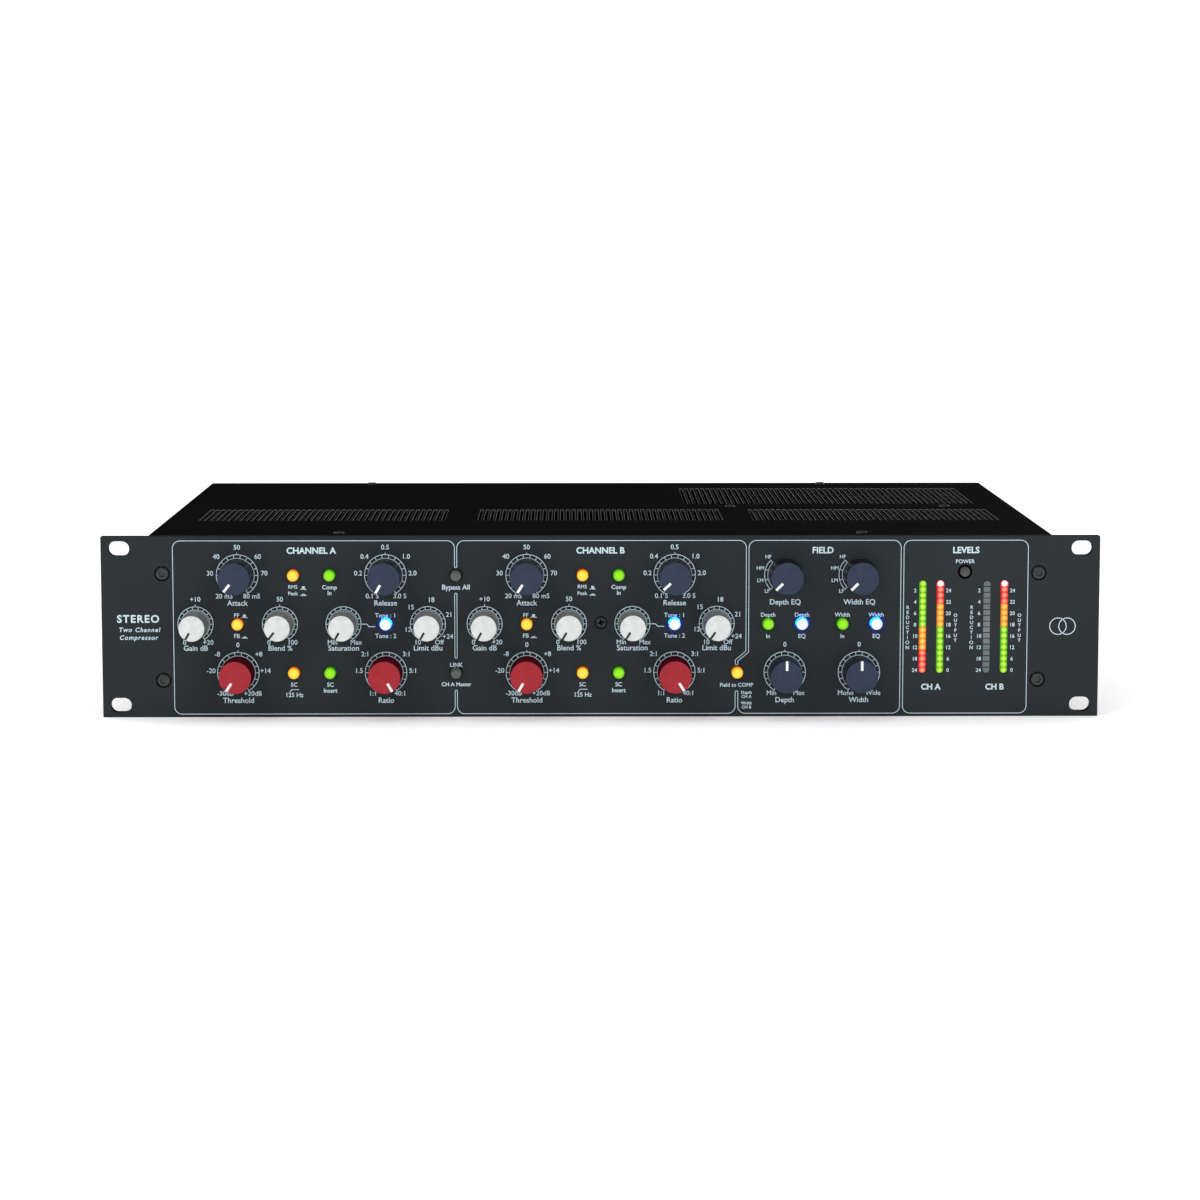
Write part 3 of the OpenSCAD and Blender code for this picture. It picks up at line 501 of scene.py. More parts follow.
def dressed(node, name, materials, pick, edge):
    """A CAD node's shape with its edges rounded. pick gives a solid's material from its size in mm."""
    bm = bmesh.new()
    bm.from_mesh(NODES[node].data)
    bmesh.ops.scale(bm, vec=(1 / MM,) * 3, verts=bm.verts)
    bmesh.ops.remove_doubles(bm, verts=bm.verts, dist=0.002)
    bmesh.ops.dissolve_limit(bm, angle_limit=radians(0.5), verts=bm.verts, edges=bm.edges)
    for group in solids_of(bm):
        corners = [v.co for face in group for v in face.verts]
        number = pick(Vector([max(c[i] for c in corners) - min(c[i] for c in corners) for i in range(3)]))
        for face in group:
            face.material_index = number
    if edge:
        sharp = [e for e in bm.edges if e.is_manifold and e.calc_face_angle(0.0) > radians(40)]
        bmesh.ops.bevel(bm, geom=sharp, offset=edge, offset_type="OFFSET", segments=2, profile=0.5,
                        affect="EDGES", clamp_overlap=True)
    piece(name, finished(name, bm, materials), (node,))


# ---- Front panel ----

def knob_nodes():
    return [n for n in NODES if "_knob" in n]


def button_nodes():
    return [n for n in NODES if "_button" in n and n != "power_button"]


def ear_screws():
    return [(sx * EAR_SCREW[0], sz * EAR_SCREW[1]) for sx in (-1, 1) for sz in (-1, 1)]


def front_panel():
    bm = bmesh.new()
    slots = [round_corner_box(sx * RACK_SPAN[0] / 2, sz * RACK_SPAN[1] / 2, *RACK_SLOT, RACK_SLOT[1] / 2, 10)
             for sx in (-1, 1) for sz in (-1, 1)]
    bar = [size + METER_PLAY for size in METER_SIZE]
    bars = [round_corner_box(x, METER_Z, *bar, METER_SIZE[0] / 2 + METER_PLAY / 2, 8) for x in METER_X]
    bushes = [circle(*axis_of(n), BUSH_HOLE_D) for n in knob_nodes()]
    caps = [circle(*axis_of(n), BUTTON_D + BUTTON_PLAY) for n in button_nodes()]
    recesses = [circle(*s, EAR_RECESS_D) for s in ear_screws()]
    single = [circle(*POWER, POWER_D + POWER_PLAY), circle(*CENTRE_SCREW, CENTRE_RECESS_D)]
    outline = round_corner_box(0, 0, PANEL_W, PANEL_H, 0.6, 4)
    holes = slots + bars + bushes + caps + recesses + single
    plate(bm, outline, holes, FACE_Y, 0.0, PANEL_EDGE, HOLE_EDGE)

    # The floors of the screws' recesses, each with the hole for its screw
    floors = [(s, EAR_RECESS_D, 4.3, 2.1) for s in ear_screws()]
    floors.append((CENTRE_SCREW, CENTRE_RECESS_D, 3.3, 1.5))
    for at, recess_d, hole_d, depth in floors:
        plate(bm, circle(*at, recess_d - 0.01), [circle(*at, hole_d)], FACE_Y + depth, -0.02, 0.02, 0.1)
    piece("front_plate", finished("front_plate", bm, [PANEL]), ("front_panel",))


def panel_screws():
    bm = bmesh.new()
    shank = [(3.2, FACE_Y + 1.22), (3.2, FACE_Y + 2.05), (2.0, FACE_Y + 2.1), (2.0, 6.2)]
    for at in ear_screws():
        head = circle(*at, EAR_HEAD_D, steps=48)
        plate(bm, head, [hexagon(*at, 3.2)], FACE_Y + 0.03, FACE_Y + 1.2, 0.7, 0.15)
        lathe(bm, shank, at=at)
    head = circle(*CENTRE_SCREW, CENTRE_HEAD_D, steps=48)
    recess = cross(*CENTRE_SCREW, 3.2, 0.85, 0.2)
    plate(bm, head, [recess], FACE_Y + 0.15, FACE_Y + 1.0, 0.4, HOLE_EDGE, 1)
    # The shank takes the near-black case paint, which shows at the bottom of the cross as painted shade in
    # the recess.
    lathe(bm, [(2.6, FACE_Y + 1.01), (1.6, FACE_Y + 1.5), (1.5, 1.0)], 2, at=CENTRE_SCREW)
    mesh = finished("panel_screw_heads", bm, [BLACK_STEEL, SHELL, POWDER])
    piece("panel_screw_heads", mesh, ("panel_screws",))


# ---- Printing on the panel ----

def ribbon(bm, points, width, closed=False):
    """A printed line of even width along points in x and z."""
    count = len(points)
    left, right = [], []
    for i, point in enumerate(points):
        before = points[i - 1] if closed or i > 0 else None
        after = points[(i + 1) % count] if closed or i < count - 1 else None
        ways = []
        if before is not None:
            ways.append((Vector(point) - Vector(before)).normalized())
        if after is not None:
            ways.append((Vector(after) - Vector(point)).normalized())
        along = sum(ways, Vector((0.0, 0.0))).normalized()
        stretch = 1.0 / max(along.dot(ways[0]), 0.3)
        aside = Vector((-along.y, along.x)) * width / 2 * stretch
        left.append(Vector(point) + aside)
        right.append(Vector(point) - aside)
    levels = (FACE_Y - PRINT_GAP, FACE_Y - PRINT_GAP - PRINT_T)
    loops = [[(a.x, levels[0], a.y), (b.x, levels[0], b.y), (b.x, levels[1], b.y), (a.x, levels[1], a.y)]
             for a, b in zip(left, right)]
    if closed:
        rings = [[bm.verts.new(p) for p in loop] for loop in loops]
        wall(bm, rings, 0, closed=True)
    else:
        loft(bm, loops)


def arc(x, z, r, start, end, step=4):
    """Points on an arc. Angles are clockwise from the top, in degrees."""
    steps = max(2, int(abs(end - start) / step))
    angles = [radians(start + (end - start) * i / steps) for i in range(steps + 1)]
    return [(x + r * sin(a), z + r * cos(a)) for a in angles]


def tick(bm, x, z, angle, inner, outer, width):
    a = radians(angle)
    ribbon(bm, [(x + r * sin(a), z + r * cos(a)) for r in (inner, outer)], width)


# Radii of a dial's two rings and of its marks
RING = {"large": (8.3, 10.05, 10.95), "small": (7.0, 8.5, 9.6)}
RING_LINE = 0.31
FINE_LINE = 0.26
BOX_LINE = 0.30
ICON_LINE = 0.36
DIAL_END = 150
DIAL_STEP = 20
SWITCH_STOPS = (-135, -105, -75, -45)


def dial(bm, x, z, size, top_mark=True):
    """The double ring with its ticks, from one end of a knob's turn to the other."""
    inner, outer, mark = RING[size]
    ribbon(bm, arc(x, z, outer, -DIAL_END, DIAL_END), RING_LINE)
    ribbon(bm, arc(x, z, inner, -DIAL_END, DIAL_END), FINE_LINE)
    for angle in range(-DIAL_END, DIAL_END + 1, DIAL_STEP):
        tick(bm, x, z, angle, inner, outer, RING_LINE)
    for angle in (-DIAL_END, DIAL_END):
        tick(bm, x, z, angle, outer, mark, RING_LINE)
    if top_mark:
        tick(bm, x, z, 0, outer, mark, RING_LINE)


def switch_dial(bm, x, z):
    """The short double ring of a four-way switch."""
    inner, outer = RING["large"][0] + 0.2, RING["large"][1]
    for r, width in ((inner, FINE_LINE), (outer, RING_LINE)):
        ribbon(bm, arc(x, z, r, SWITCH_STOPS[0], SWITCH_STOPS[-1]), width)
    for angle in SWITCH_STOPS:
        tick(bm, x, z, angle, inner, outer + 0.3, RING_LINE)


def push_icon(bm, x, z, out):
    """A small drawing of a push button, out or in."""
    base = z - 0.75
    half = 1.45
    height = 1.45 if out else 0.75
    ribbon(bm, [(x - half, base), (x + half, base)], ICON_LINE)
    ribbon(bm, [(x, base), (x, base + height)], 1.4)


WORDS = []


NUMBER_H = 2.25
NAME_H = 2.5
SMALL_H = 1.95
TINY_H = 1.75
TITLE_H = 2.9
WORD_RISE = 0.35
BOLD = 0.12


def word(text, x, z, height, bold=0.03, slant=0.0, spacing=1.0):
    """Asks for a word whose capitals are height tall, WORD_RISE above x and z."""
    WORDS.append((text, x, z + WORD_RISE, height, bold, slant, spacing))


# Places of a dial's numbers from its middle, clockwise from the lower left
LARGE_SPOTS = (
    (-6.4, -10.4), (-13.1, 0.7), (-10.0, 8.8), (0.0, 13.3), (10.0, 8.8), (13.1, 0.7), (6.9, -10.4),
)
SMALL_SPOTS = ((-5.4, -9.2), None, None, (0.0, 11.8), None, None, (6.0, -9.2))
LIMIT_SPOTS = (
    (-5.0, -9.2), (-9.7, -3.0), (-8.2, 7.9), (1.6, 11.5), (10.3, 4.3), (9.6, -6.4), (5.4, -9.2),
)


def numbers(x, z, spots, texts):
    for spot, text in zip(spots, texts):
        if spot and text:
            word(text, x + spot[0], z + spot[1], NUMBER_H)


def channel(bm, shift):
    """Everything printed for one channel's controls."""
    attack, release = ATTACK_X + shift, RELEASE_X + shift
    detector, comp = attack + INNER_STEP, release - INNER_STEP
    large = (
        (attack, TOP_Z, "Attack", ("20 mS", "30", "40", "50", "60", "70", "80 mS"), True),
        (release, TOP_Z, "Release", ("0.1 S", "0.2", "0.4", "0.5", "1.0", "2.0", "3.0 S"), True),
        (attack, LOW_Z, "Threshold", ("-30dB", "-20", "-8", "0", "+8", "+14", "+20dB"), True),
        (release, LOW_Z, "Ratio", ("1:1", "1.5", "2:1", "", "3:1", "5:1", "40:1"), False),
    )
    for x, z, name, texts, mark in large:
        dial(bm, x, z, "large", mark)
        numbers(x, z, LARGE_SPOTS, texts)
        word(name, x, z - 13.8, NAME_H, bold=0.04)
    small = (
        (attack - SIDE_STEP, "Gain dB", SMALL_SPOTS, ("0", "", "", "+10", "", "", "+20"), True),
        (attack + SIDE_STEP, "Blend %", SMALL_SPOTS, ("0", "", "", "50", "", "", "100"), True),
        (release - SIDE_STEP, "Saturation", SMALL_SPOTS, ("Min", "", "", "", "", "", "Max"), False),
        (release + SIDE_STEP, "Limit dBu", LIMIT_SPOTS, ("10", "12", "15", "18", "21", "+24", "Off"), False),
    )
    for x, name, spots, texts, mark in small:
        dial(bm, x, MIDDLE_Z, "small", mark)
        numbers(x, MIDDLE_Z, spots, texts)
        word(name, x, MIDDLE_Z - 12.0, NAME_H, bold=0.04)
    word("RMS", detector - 0.2, 19.2, SMALL_H - 0.25)
    word("Peak", detector - 0.2, 16.0, SMALL_H - 0.25)
    push_icon(bm, detector + 4.9, 19.1, True)
    push_icon(bm, detector + 4.9, 16.1, False)
    word("Comp", comp, 19.0, SMALL_H, bold=0.05)
    word("In", comp, 16.2, SMALL_H, bold=0.05)
    word("FF", attack - 0.5, 5.3, SMALL_H)
    word("FB", attack - 0.5, -4.7, SMALL_H)
    push_icon(bm, attack + 3.3, 5.4, True)
    push_icon(bm, attack + 3.3, -4.6, False)
    word("Tone : 1", release, 5.3, SMALL_H + 0.1)
    word("Tone : 2", release, -4.7, SMALL_H + 0.1)
    word("SC", detector, -28.5, SMALL_H)
    high_pass = [(-2.3, -31.9), (-1.3, -30.6), (2.3, -30.6)]
    ribbon(bm, [(detector + x, z) for x, z in high_pass], 0.3)
    word("125 Hz", detector, -33.5, SMALL_H + 0.1)
    word("SC", comp, -28.5, SMALL_H, bold=0.05)
    word("Insert", comp, -31.4, SMALL_H, bold=0.05)
    link = [(8.75, 0.0), (11.1, 0.0), (12.4, -1.25), (15.4, -1.25)]
    ribbon(bm, [(release - SIDE_STEP + x, MIDDLE_Z + z) for x, z in link], ICON_LINE)


def field(bm):
    """Everything printed for the depth and width controls."""
    for name, ends in (("depth", ("Min", "Max")), ("width", ("Mono", "Wide"))):
        x, z = axis_of(name + "_eq_knob")
        switch_dial(bm, x, z)
        spots = (("HF", -8.3, 8.5), ("HM", -12.1, 3.0), ("LM", -12.1, -3.0), ("LF", -8.8, -8.2))
        for text, dx, dz in spots:
            word(text, x + dx, z + dz, TINY_H)
        word(name.capitalize() + " EQ", x, z - 13.5, NAME_H, bold=0.04)
        for button, text in (("_in_button", "In"), ("_eq_button", "EQ")):
            bx, bz = axis_of(name + button)
            word(name.capitalize(), bx, bz + 4.0, SMALL_H)
            word(text, bx, bz - 6.4, SMALL_H)
        x, z = axis_of(name + "_knob")
        dial(bm, x, z, "large")
        numbers(x, z, LARGE_SPOTS, (ends[0], "", "", "0", "", "", ends[1]))
        word(name.capitalize(), x, z - 13.8, NAME_H, bold=0.04)
    x, z = axis_of("stereo_comp_button")
    word("Field to COMP", x - 0.3, z - 6.5, SMALL_H - 0.15)
    for text, dz in (("Depth", -10.2), ("CH A", -12.2), ("Width", -15.4), ("CH B", -17.4)):
        word(text, x + 4.6, z + dz, 1.4)


def meter_scales():
    """The numbers beside the meters, their upright titles and the channels' names."""
    reduction = ("2", "4", "6", "8", "10", "12", "18", "24")
    output = ("24", "22", "20", "18", "16", "12", "6", "0")
    top, pitch = 17.4, 5.55
    letter_pitch = 2.45
    for left, right, name in ((*METER_X[:2], "CH A"), (*METER_X[2:], "CH B")):
        for i in range(len(output)):
            z = METER_Z + top - pitch * i
            word(reduction[i], left - 3.7, z, TINY_H)
            word(output[i], right + 3.9, z, TINY_H)
        for x, z, text in ((left - 7.3, -0.9, "REDUCTION"), (right + 7.4, -1.1, "OUTPUT")):
            for i, letter in enumerate(text):
                word(letter, x, z + ((len(text) - 1) / 2 - i) * letter_pitch, 1.6)
        word(name, (left + right) / 2, -29.9, 2.7, bold=BOLD)
    word("POWER", POWER[0], 31.3, 1.8)


def frames(bm):
    """The four outlined boxes with their gaps."""
    top, bottom, corner = 41.9, -42.5, 3.6
    shared_l, shared_r = SHARED_X - 0.6, SHARED_X + 0.5
    left, right = -206.6, 206.5

    def up_left(x):
        return arc(x + corner, top - corner, corner, -90, 0)

    def up_right(x):
        return arc(x - corner, top - corner, corner, 0, 90)

    def down_right(x):
        return arc(x - corner, bottom + corner, corner, 90, 180)

    def down_left(x):
        return arc(x + corner, bottom + corner, corner, 180, 270)

    def round_end(x0, x1, z, start, end):
        return arc((x0 + x1) / 2, z, abs(x1 - x0) / 2, start, end, 20)

    breaks = (29.3, 15.9, -14.8, -31.5)
    ribbon(bm, round_end(shared_l, shared_r, breaks[1], -90, 90)
           + round_end(shared_l, shared_r, breaks[2], 90, 270), BOX_LINE, closed=True)

    # The outlines of the channels and the field box are one line that turns back at every gap.
    step = 5.1
    bend = (-12.0, -16.3, -18.1, -32.1)
    ab, bc = 70.2, 71.5
    low_a, low_b = ab - step, bc - step
    box_c = 145.0
    line = down_right(shared_l) + down_left(left) + up_left(left) + up_right(shared_l)
    line += round_end(shared_l, shared_r, breaks[0], -90, -270) + up_left(shared_r) + up_right(ab)
    line += [(ab, bend[0]), (low_a, bend[1])] + round_end(low_a, low_b, bend[2], -90, -270)
    line += [(low_b, bend[1] - 0.5), (bc, bend[0] - 0.5)] + up_left(bc) + up_right(box_c)
    line += down_right(box_c) + down_left(low_b) + round_end(low_a, low_b, bend[3], 90, -90)
    line += down_right(low_a) + down_left(shared_r) + round_end(shared_l, shared_r, breaks[3], 90, -90)
    ribbon(bm, line, BOX_LINE, closed=True)
    box_d = 146.4
    box = up_left(box_d) + up_right(right) + down_right(right) + down_left(box_d)
    ribbon(bm, box, BOX_LINE, closed=True)


def titles(bm):
    for text, x in (("CHANNEL A", -139.8), ("CHANNEL B", -0.3), ("FIELD", 107.2), ("LEVELS", 176.4)):
        word(text, x, 36.8, TITLE_H, bold=BOLD)
    word("Bypass All", SHARED_X, 19.0, SMALL_H + 0.35, bold=0.05)
    word("LINK", SHARED_X, -18.9, SMALL_H, bold=0.05)
    word("CH A Master", SHARED_X, -28.4, SMALL_H - 0.15, bold=0.05)
    word("STEREO", -223.6, 3.7, 3.5, bold=0.14, spacing=1.2)
    word("Two Channel", -223.2, -1.6, 2.1, bold=0.05, slant=0.22, spacing=1.2)
    word("Compressor", -223.6, -5.4, 2.1, bold=0.05, slant=0.22, spacing=1.2)
    # Two linked rings, a generic sign for stereo
    for x in (221.4, 225.8):
        ribbon(bm, arc(x, 0.0, 4.0, 0, 356), 0.4, closed=True)


def letters(bm):
    """Sets WORDS in the built-in letters and adds them to the mesh, standing on the panel's face."""
    def lettering(text, size):
        curve = bpy.data.curves.new("letters", "FONT")
        curve.body = text
        curve.size = size
        curve.resolution_u = 3
        item = bpy.data.objects.new("letters", curve)
        bpy.context.scene.collection.objects.link(item)
        return item

    probe = lettering("H", 1.0)
    bpy.context.view_layer.update()
    tall = max(c[1] for c in probe.bound_box) - min(c[1] for c in probe.bound_box)
    bpy.data.objects.remove(probe)
    made = []
    for text, x, z, height, bold, slant, spacing in WORDS:
        item = lettering(text, height / tall)
        item.data.align_x = "CENTER"
        item.data.offset = bold
        item.data.shear = slant
        item.data.space_character = spacing
        item.data.extrude = PRINT_T / 2
        made.append((item, x, z - height / 2))
    bpy.context.view_layer.update()
    graph = bpy.context.evaluated_depsgraph_get()
    stand = Matrix.Rotation(pi / 2, 4, "X")
    for item, x, z in made:
        mesh = bpy.data.meshes.new_from_object(item.evaluated_get(graph))
        mesh.transform(Matrix.Translation((x, FACE_Y - PRINT_GAP - PRINT_T / 2, z)) @ stand)
        bm.from_mesh(mesh)
        bpy.data.meshes.remove(mesh)
        bpy.data.objects.remove(item)


def printing():
    drawings = (
        ("print_channel_a", lambda bm: channel(bm, 0.0)),
        ("print_channel_b", lambda bm: channel(bm, CHANNEL_PITCH)),
        ("print_field", field),
        ("print_meters", lambda bm: meter_scales()),
        ("print_titles", lambda bm: (frames(bm), titles(bm))),
    )
    for name, draw in drawings:
        bm = bmesh.new()
        WORDS.clear()
        draw(bm)
        letters(bm)
        piece(name, finished(name, bm, [LEGEND], smooth=20.0))


# ---- Knobs ----

def knob_kind(node):
    """Size and colour of a knob from what it sets."""
    what = node.split("_")[0]
    if what in ("gain", "blend", "saturation", "limit"):
        return "small", "silver"
    return "large", "red" if what in ("threshold", "ratio") else "blue"


def rest_angle(node):
    """Where a knob's pointer rests, clockwise from the top, from how far it can turn back."""
    lowest = SWITCH_STOPS[0] if "_eq_" in node else -DIAL_END
    return radians(lowest - JOINTS[node]["range_deg"][0])


def knob_mesh(size, colour):
    """A knob about its own axis, with its foot at y = -KNOB_GAP and its pointer at the top."""
    bm = bmesh.new()
    face_r = KNOB_D[size] / 2
    foot_r = face_r + KNOB_TAPER / 2
    front = -KNOB_REACH
    foot = -KNOB_GAP
    edge = 0.55
    # The side finish carries painted shade, and the rim finish on the foot flange carries a painted
    # highlight.
    side, face, rim, pointer, metal = range(5)

    def side_r(y):
        return foot_r + (face_r - foot_r) * (foot - y) / (foot - front)

    def edge_point(share):
        a = share * pi / 2
        return face_r - edge + edge * cos(a), front + edge - edge * sin(a)

    hollow = [(3.0, foot - 3.2), (5.6, foot - 3.2), (5.6, foot - 0.25), (5.85, foot)]
    flange = [(foot_r - 0.15, foot), (foot_r, foot - 0.15)]
    flange += [(foot_r, foot - 0.8), (foot_r - 0.15, foot - 0.95)]
    flank = [(side_r(-2.2) - 0.35, foot - 1.1), (side_r(-2.6) - 0.3, -2.6), (side_r(-3.2), -3.2)]
    flank += [(side_r(y), y) for y in (-6.0, -10.0, -14.0, front + edge)]
    top = [edge_point(share) for share in (0.2, 0.4, 0.6, 0.8, 1.0)]
    dish = [(face_r - 0.9, front), (face_r - 1.1, front + 0.05), (0.4, front + 0.05)]
    stages = ((hollow + flange[:1], side), (flange, rim), (flange[-1:] + flank + top[:1], side),
              (top + dish, face))
    rings = {}
    for profile, material in stages:
        for point in profile:
            if point not in rings:
                angles = [2 * pi * i / KNOB_STEPS for i in range(KNOB_STEPS)]
                r, y = point
                rings[point] = [bm.verts.new((r * cos(a), y, r * sin(a))) for a in angles]
        wall(bm, [rings[point] for point in profile], material)
    bm.faces.new(rings[hollow[0]]).material_index = side
    bm.faces.new(rings[dish[-1]]).material_index = face

    # The pointer follows the face out and over its edge.
    half = POINTER_W[size] / 2
    line = [(POINTER_FROM[size], front)] + [edge_point(share) for share in (1.0, 0.75, 0.5, 0.25)]
    raised = 0.02
    loops = []
    for r, y in line:
        near, sunk = y - raised, y + 0.6
        loops.append([(-half, near, r), (half, near, r), (half, sunk, r - 0.3), (-half, sunk, r - 0.3)])
    loft(bm, loops, pointer)
    lathe(bm, [(2.95, 6.5), (SHAFT_D / 2, 6.3), (SHAFT_D / 2, foot - 3.0)], metal, steps=40)
    return finished(f"knob_{size}_{colour}", bm, [*KNOB_FINISH[colour], PLATED], smooth=40.0)


def knobs():
    meshes = {}
    for node in knob_nodes():
        size, colour = knob_kind(node)
        if colour not in meshes:
            meshes[colour] = knob_mesh(size, colour)
        x, z = axis_of(node)
        at = (x, FACE_Y, z)
        piece("turned_" + node, meshes[colour], (node,), node, at, rest_angle(node))


# ---- Buttons ----

def cap_kind(node):
    """The record's slot for a button's cap, which says what colour it is lit."""
    if node == "power_button":
        return "button_black"
    if node in ("bypass_button", "link_button"):
        return "lamp_unlit"
    if node.startswith("saturation") or "_eq_" in node:
        return "lamp_white"
    if node.startswith(("comp", "insert")) or "_in_" in node:
        return "lamp_green"
    return "lamp_amber"


def buttons():
    for node in button_nodes() + ["power_button"]:
        kind = cap_kind(node)
        power = kind == "button_black"
        r = (POWER_D if power else BUTTON_D) / 2
        front = -(POWER_REACH if power else BUTTON_REACH)
        back = -FACE_Y + 2.5
        edge = BUTTON_EDGE
        bm = bmesh.new()
        foot_y = max(-FOOT_H, front + edge + 0.3)
        foot = lathe(bm, [(r - 0.2, back), (r, back - 0.2), (r, foot_y)], 3, steps=48)
        bm.faces.remove([f for f in bm.faces if len(f.verts) > 4 and foot[-1][0] in f.verts][0])
        shoulder = [bm.verts.new((v.co.x, front + edge, v.co.z)) for v in foot[-1]]
        wall(bm, [foot[-1], shoulder], 1)
        loops = [shoulder]
        dome = [(r - edge + edge * cos(a), front + edge - edge * sin(a) * 0.92)
                for a in (pi / 8, pi / 4, 3 * pi / 8, pi / 2)]
        for radius, y in dome + [((r - edge) * 0.55, front + 0.01), (0.3, front)]:
            share = radius / r
            loops.append([bm.verts.new((v.co.x * share, y, v.co.z * share)) for v in shoulder])
        wall(bm, loops, 0)
        bm.faces.new(loops[-1]).material_index = 0
        end = BUTTON_STEM_END - FACE_Y
        lathe(bm, [(1.5, back + 0.02), (1.5, end - 0.3), (1.3, end)], 2, steps=24)
        x, z = axis_of(node)
        side = CAP_SIDE.get(kind, CAP_FINISH[kind])
        finishes = [CAP_FINISH[kind], side, RELAY, CAP_FOOT.get(kind, side)]
        piece("cap_" + node, finished("cap_" + node, bm, finishes), (node,), node, (x, FACE_Y, z))


# ---- Meters ----

# Each bar's lamps, from the top down
REDUCTION_LIT = ("green",) * 8 + ("amber",) * 4 + ("red",) * 4
OUTPUT_LIT = ("bright",) + ("red",) * 3 + ("amber",) * 4 + ("green",) * 8
LIT = (REDUCTION_LIT, OUTPUT_LIT, ("unlit",) * METER_LAMPS, OUTPUT_LIT)


def meters():
    """Sixteen light cells in each bar, with thin dark walls between them."""
    names = list(BAR_FINISH)
    width, height = METER_SIZE
    r = width / 2
    pitch = height / METER_LAMPS
    gap = 0.14
    for bar, (x, lit) in enumerate(zip(METER_X, LIT)):
        bm = bmesh.new()
        for cell, colour in enumerate(lit):
            high = height / 2 - cell * pitch - gap
            low = high - pitch + 2 * gap
            left, right = [], []
            for i in range(9):
                z = low + (high - low) * i / 8
                over = max(abs(z) - (height / 2 - r), 0.0)
                half = sqrt(max(r * r - over * over, 0.04))
                right.append((half, z))
                left.append((-half, z))
            outline = right + left[::-1]
            centre = (low + high) / 2
            steps = ((11.5, 1.0), (FACE_Y - 0.02, 1.0), (FACE_Y - 0.15, 0.95), (FACE_Y - 0.2, 0.86))
            loops = [[(px * share, level, (pz - centre) * share + centre) for px, pz in outline]
                     for level, share in steps]
            loft(bm, loops, names.index(colour))
        # The web that holds the cells together, behind the panel
        web = round_corner_box(0, 0, 1.2, height - 2.4, 0.3)()
        loft(bm, [[(p[0], level, p[1]) for p in web] for level in (3.0, 4.0)], len(names))
        name = f"meter_bar_{bar + 1}"
        mesh = finished(name, bm, [*BAR_FINISH.values(), MOULDING], smooth=20.0)
        stands_for = ("meter_lenses",) if bar == 0 else ()
        piece(name, mesh, stands_for, at=(x, 0.0, METER_Z))


# ---- Case ----

def top_cover():
    bm = bmesh.new()
    slots = []
    for x, y0, y1, count in VENTS:
        for i in range(count):
            middle = x + (i - (count - 1) / 2) * VENT_PITCH
            slots.append(round_corner_box(middle, (y0 + y1) / 2, VENT_W, y1 - y0, 0.3, 2))
    holes = [circle(x, y, COVER_SCREW_HOLE_D, steps=24) for x, y in COVER_SCREWS]
    size = (cover_high.x - cover_low.x, cover_high.y - cover_low.y)
    outline = round_corner_box(0, (cover_low.y + cover_high.y) / 2, *size, 0.6, 4)
    # The slots' rounded edges take the lighter painted-highlight finish.
    plate(bm, outline, slots + holes, cover_high.z, cover_low.z, PANEL_EDGE, VENT_EDGE, 0, 1, lying=True)
    piece("cover_plate", finished("cover_plate", bm, [POWDER, SLOT_EDGE_HIGHLIGHT]), ("top_cover",))


def case():
    """The rest of the case and what is inside it: CAD shapes with rounded edges and their own finishes."""
    relay_h, capacitor_h, reservoir_h = 9, 12, 30

    def only(size):
        return 0

    def is_tall(size, height):
        return abs(size.z - height) < 0.2

    def on_board(size):
        if size.y > 100:
            return 0
        if is_tall(size, capacitor_h):
            return 3
        return 2 if is_tall(size, relay_h) else 1

    def on_power(size):
        if size.y > 80:
            return 0
        if is_tall(size, reservoir_h):
            return 1
        return 2 if size.z > reservoir_h + 1 else 3

    def in_transformer(size):
        if size.x > 90:
            return 0
        return 1 if size.x > 80 else 2

    def in_socket(size):
        return 1 if max(size.x, size.z) < 5 else 0

    def in_jack(size):
        return 1 if size.y < 5 else 0

    def in_inlet(size):
        return 1 if size.x < 3 else 0

    def in_post(size):
        """A screw's head is round, so its two smallest sizes are the same."""
        sizes = sorted(size)
        return 1 if sizes[1] - sizes[0] < 0.1 else 0

    dressed("chassis_tray", "tray", [POWDER], only, 0.0)
    dressed("rear_panel", "rear_plate", [POWDER], only, 0.15)
    dressed("case_screws", "case_screw_heads", [BLACK_STEEL], only, 0.0)
    dressed("xlr_sockets", "xlr_shells", [SHELL, CONTACT], in_socket, 0.15)
    dressed("jack_sockets", "jack_bodies", [SHELL, PLATED], in_jack, 0.12)
    dressed("mains_inlet", "mains_socket_body", [MOULDING, CONTACT], in_inlet, 0.2)
    dressed("main_board", "audio_board", [BOARD, CHIP, RELAY, CAPACITOR], on_board, 0.0)
    dressed("power_board", "supply_board", [BOARD, CAPACITOR, FINS, CHIP], on_power, 0.0)
    dressed("audio_transformers", "transformer_cans", [CAN], only, 0.6)
    toroid = [WINDING, MOULDING, PLATED]
    dressed("mains_transformer", "toroid", toroid, in_transformer, 0.0)
    dressed("board_standoffs", "posts", [BRASS, PLATED], in_post, 0.0)
    kept = {"psu_bracket": PLATED, "potentiometers": CONTROL, "pot_nuts": PLATED,
            "push_switches": MOULDING, "control_board": BOARD}
    for node, material in kept.items():
        for item in NODES[node].material_slots:
            item.material = material


# ---- Studio ----

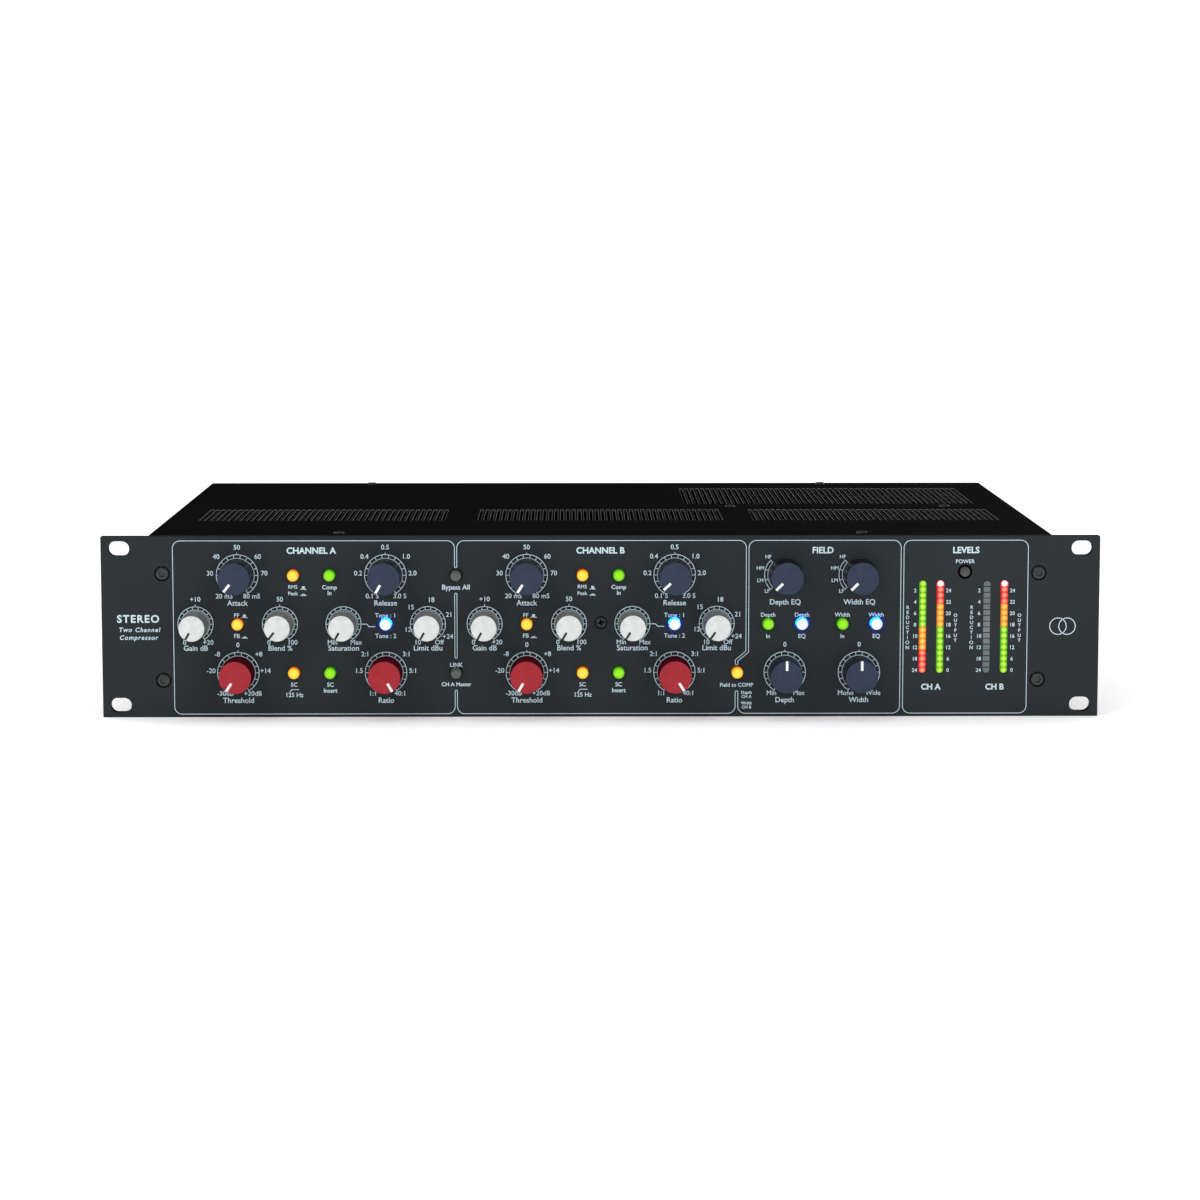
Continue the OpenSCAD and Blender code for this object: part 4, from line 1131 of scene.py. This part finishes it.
LIGHTS = (
    ("key", (-1.5, -2.0, 1.9), 1.2, 18.0),
    ("fill", (1.8, -2.4, 0.9), 1.4, 12.0),
    ("top", (0.0, 0.2, 2.6), 1.6, 10.0),
    ("back_left", (-2.2, 1.6, 1.5), 1.2, 14.0),
    ("back_right", (1.9, 2.2, 1.2), 1.2, 12.0),
)
LIT_POINT = Vector((0.0, 0.1, 0.0))
FLOOR_R = 40.0


def studio():
    """The camera, the lights and the floor, all in metres."""
    scene = bpy.context.scene
    scene.view_settings.view_transform = "Standard"
    camera = bpy.data.objects.new("camera", bpy.data.cameras.new("camera"))
    camera.location = (-0.0153, -1.6075, 0.2081)
    camera.rotation_euler = (radians(83.06), 0.0, radians(-0.53))
    camera.data.lens = 100.2
    camera.data.sensor_width = 36.0
    camera.data.clip_end = 100.0
    scene.collection.objects.link(camera)
    scene.camera = camera

    # An even white surround. It shades the object but isn't mirrored in it, as in a dark studio.
    world = bpy.data.worlds.new("studio")
    world.use_nodes = True
    background = world.node_tree.nodes["Background"]
    background.inputs["Color"].default_value = (1.0, 1.0, 1.0, 1.0)
    background.inputs["Strength"].default_value = 1.0
    world.cycles_visibility.glossy = False
    scene.world = world

    for name, at, size, power in LIGHTS:
        light = bpy.data.lights.new(name, "AREA")
        light.size = size
        light.energy = power
        made = bpy.data.objects.new(name, light)
        made.location = at
        made.rotation_euler = (LIT_POINT - Vector(at)).to_track_quat("-Z", "Y").to_euler()
        scene.collection.objects.link(made)

    bm = bmesh.new()
    bmesh.ops.create_circle(bm, cap_ends=True, segments=96, radius=FLOOR_R)
    mesh = bpy.data.meshes.new("floor")
    bm.to_mesh(mesh)
    bm.free()
    mesh.transform(Matrix.Translation((0.0, 0.0, panel_low.z * MM)))
    paper = surface("floor_paper", (0.86, 0.86, 0.86), (0.88, 0.88, 0.88), 0.9, specular=0.0,
                    grain=400.0, patches=0.8, bump=0.01)
    paper_shader = paper.node_tree.nodes["Principled BSDF"]
    paper_shader.inputs["Emission Color"].default_value = (1.0, 1.0, 1.0, 1.0)
    paper_shader.inputs["Emission Strength"].default_value = 0.14
    mesh.materials.append(paper)
    floor = bpy.data.objects.new("floor", mesh)
    scene.collection.objects.link(floor)


studio()
front_panel()
panel_screws()
printing()
knobs()
buttons()
meters()
top_cover()
case()
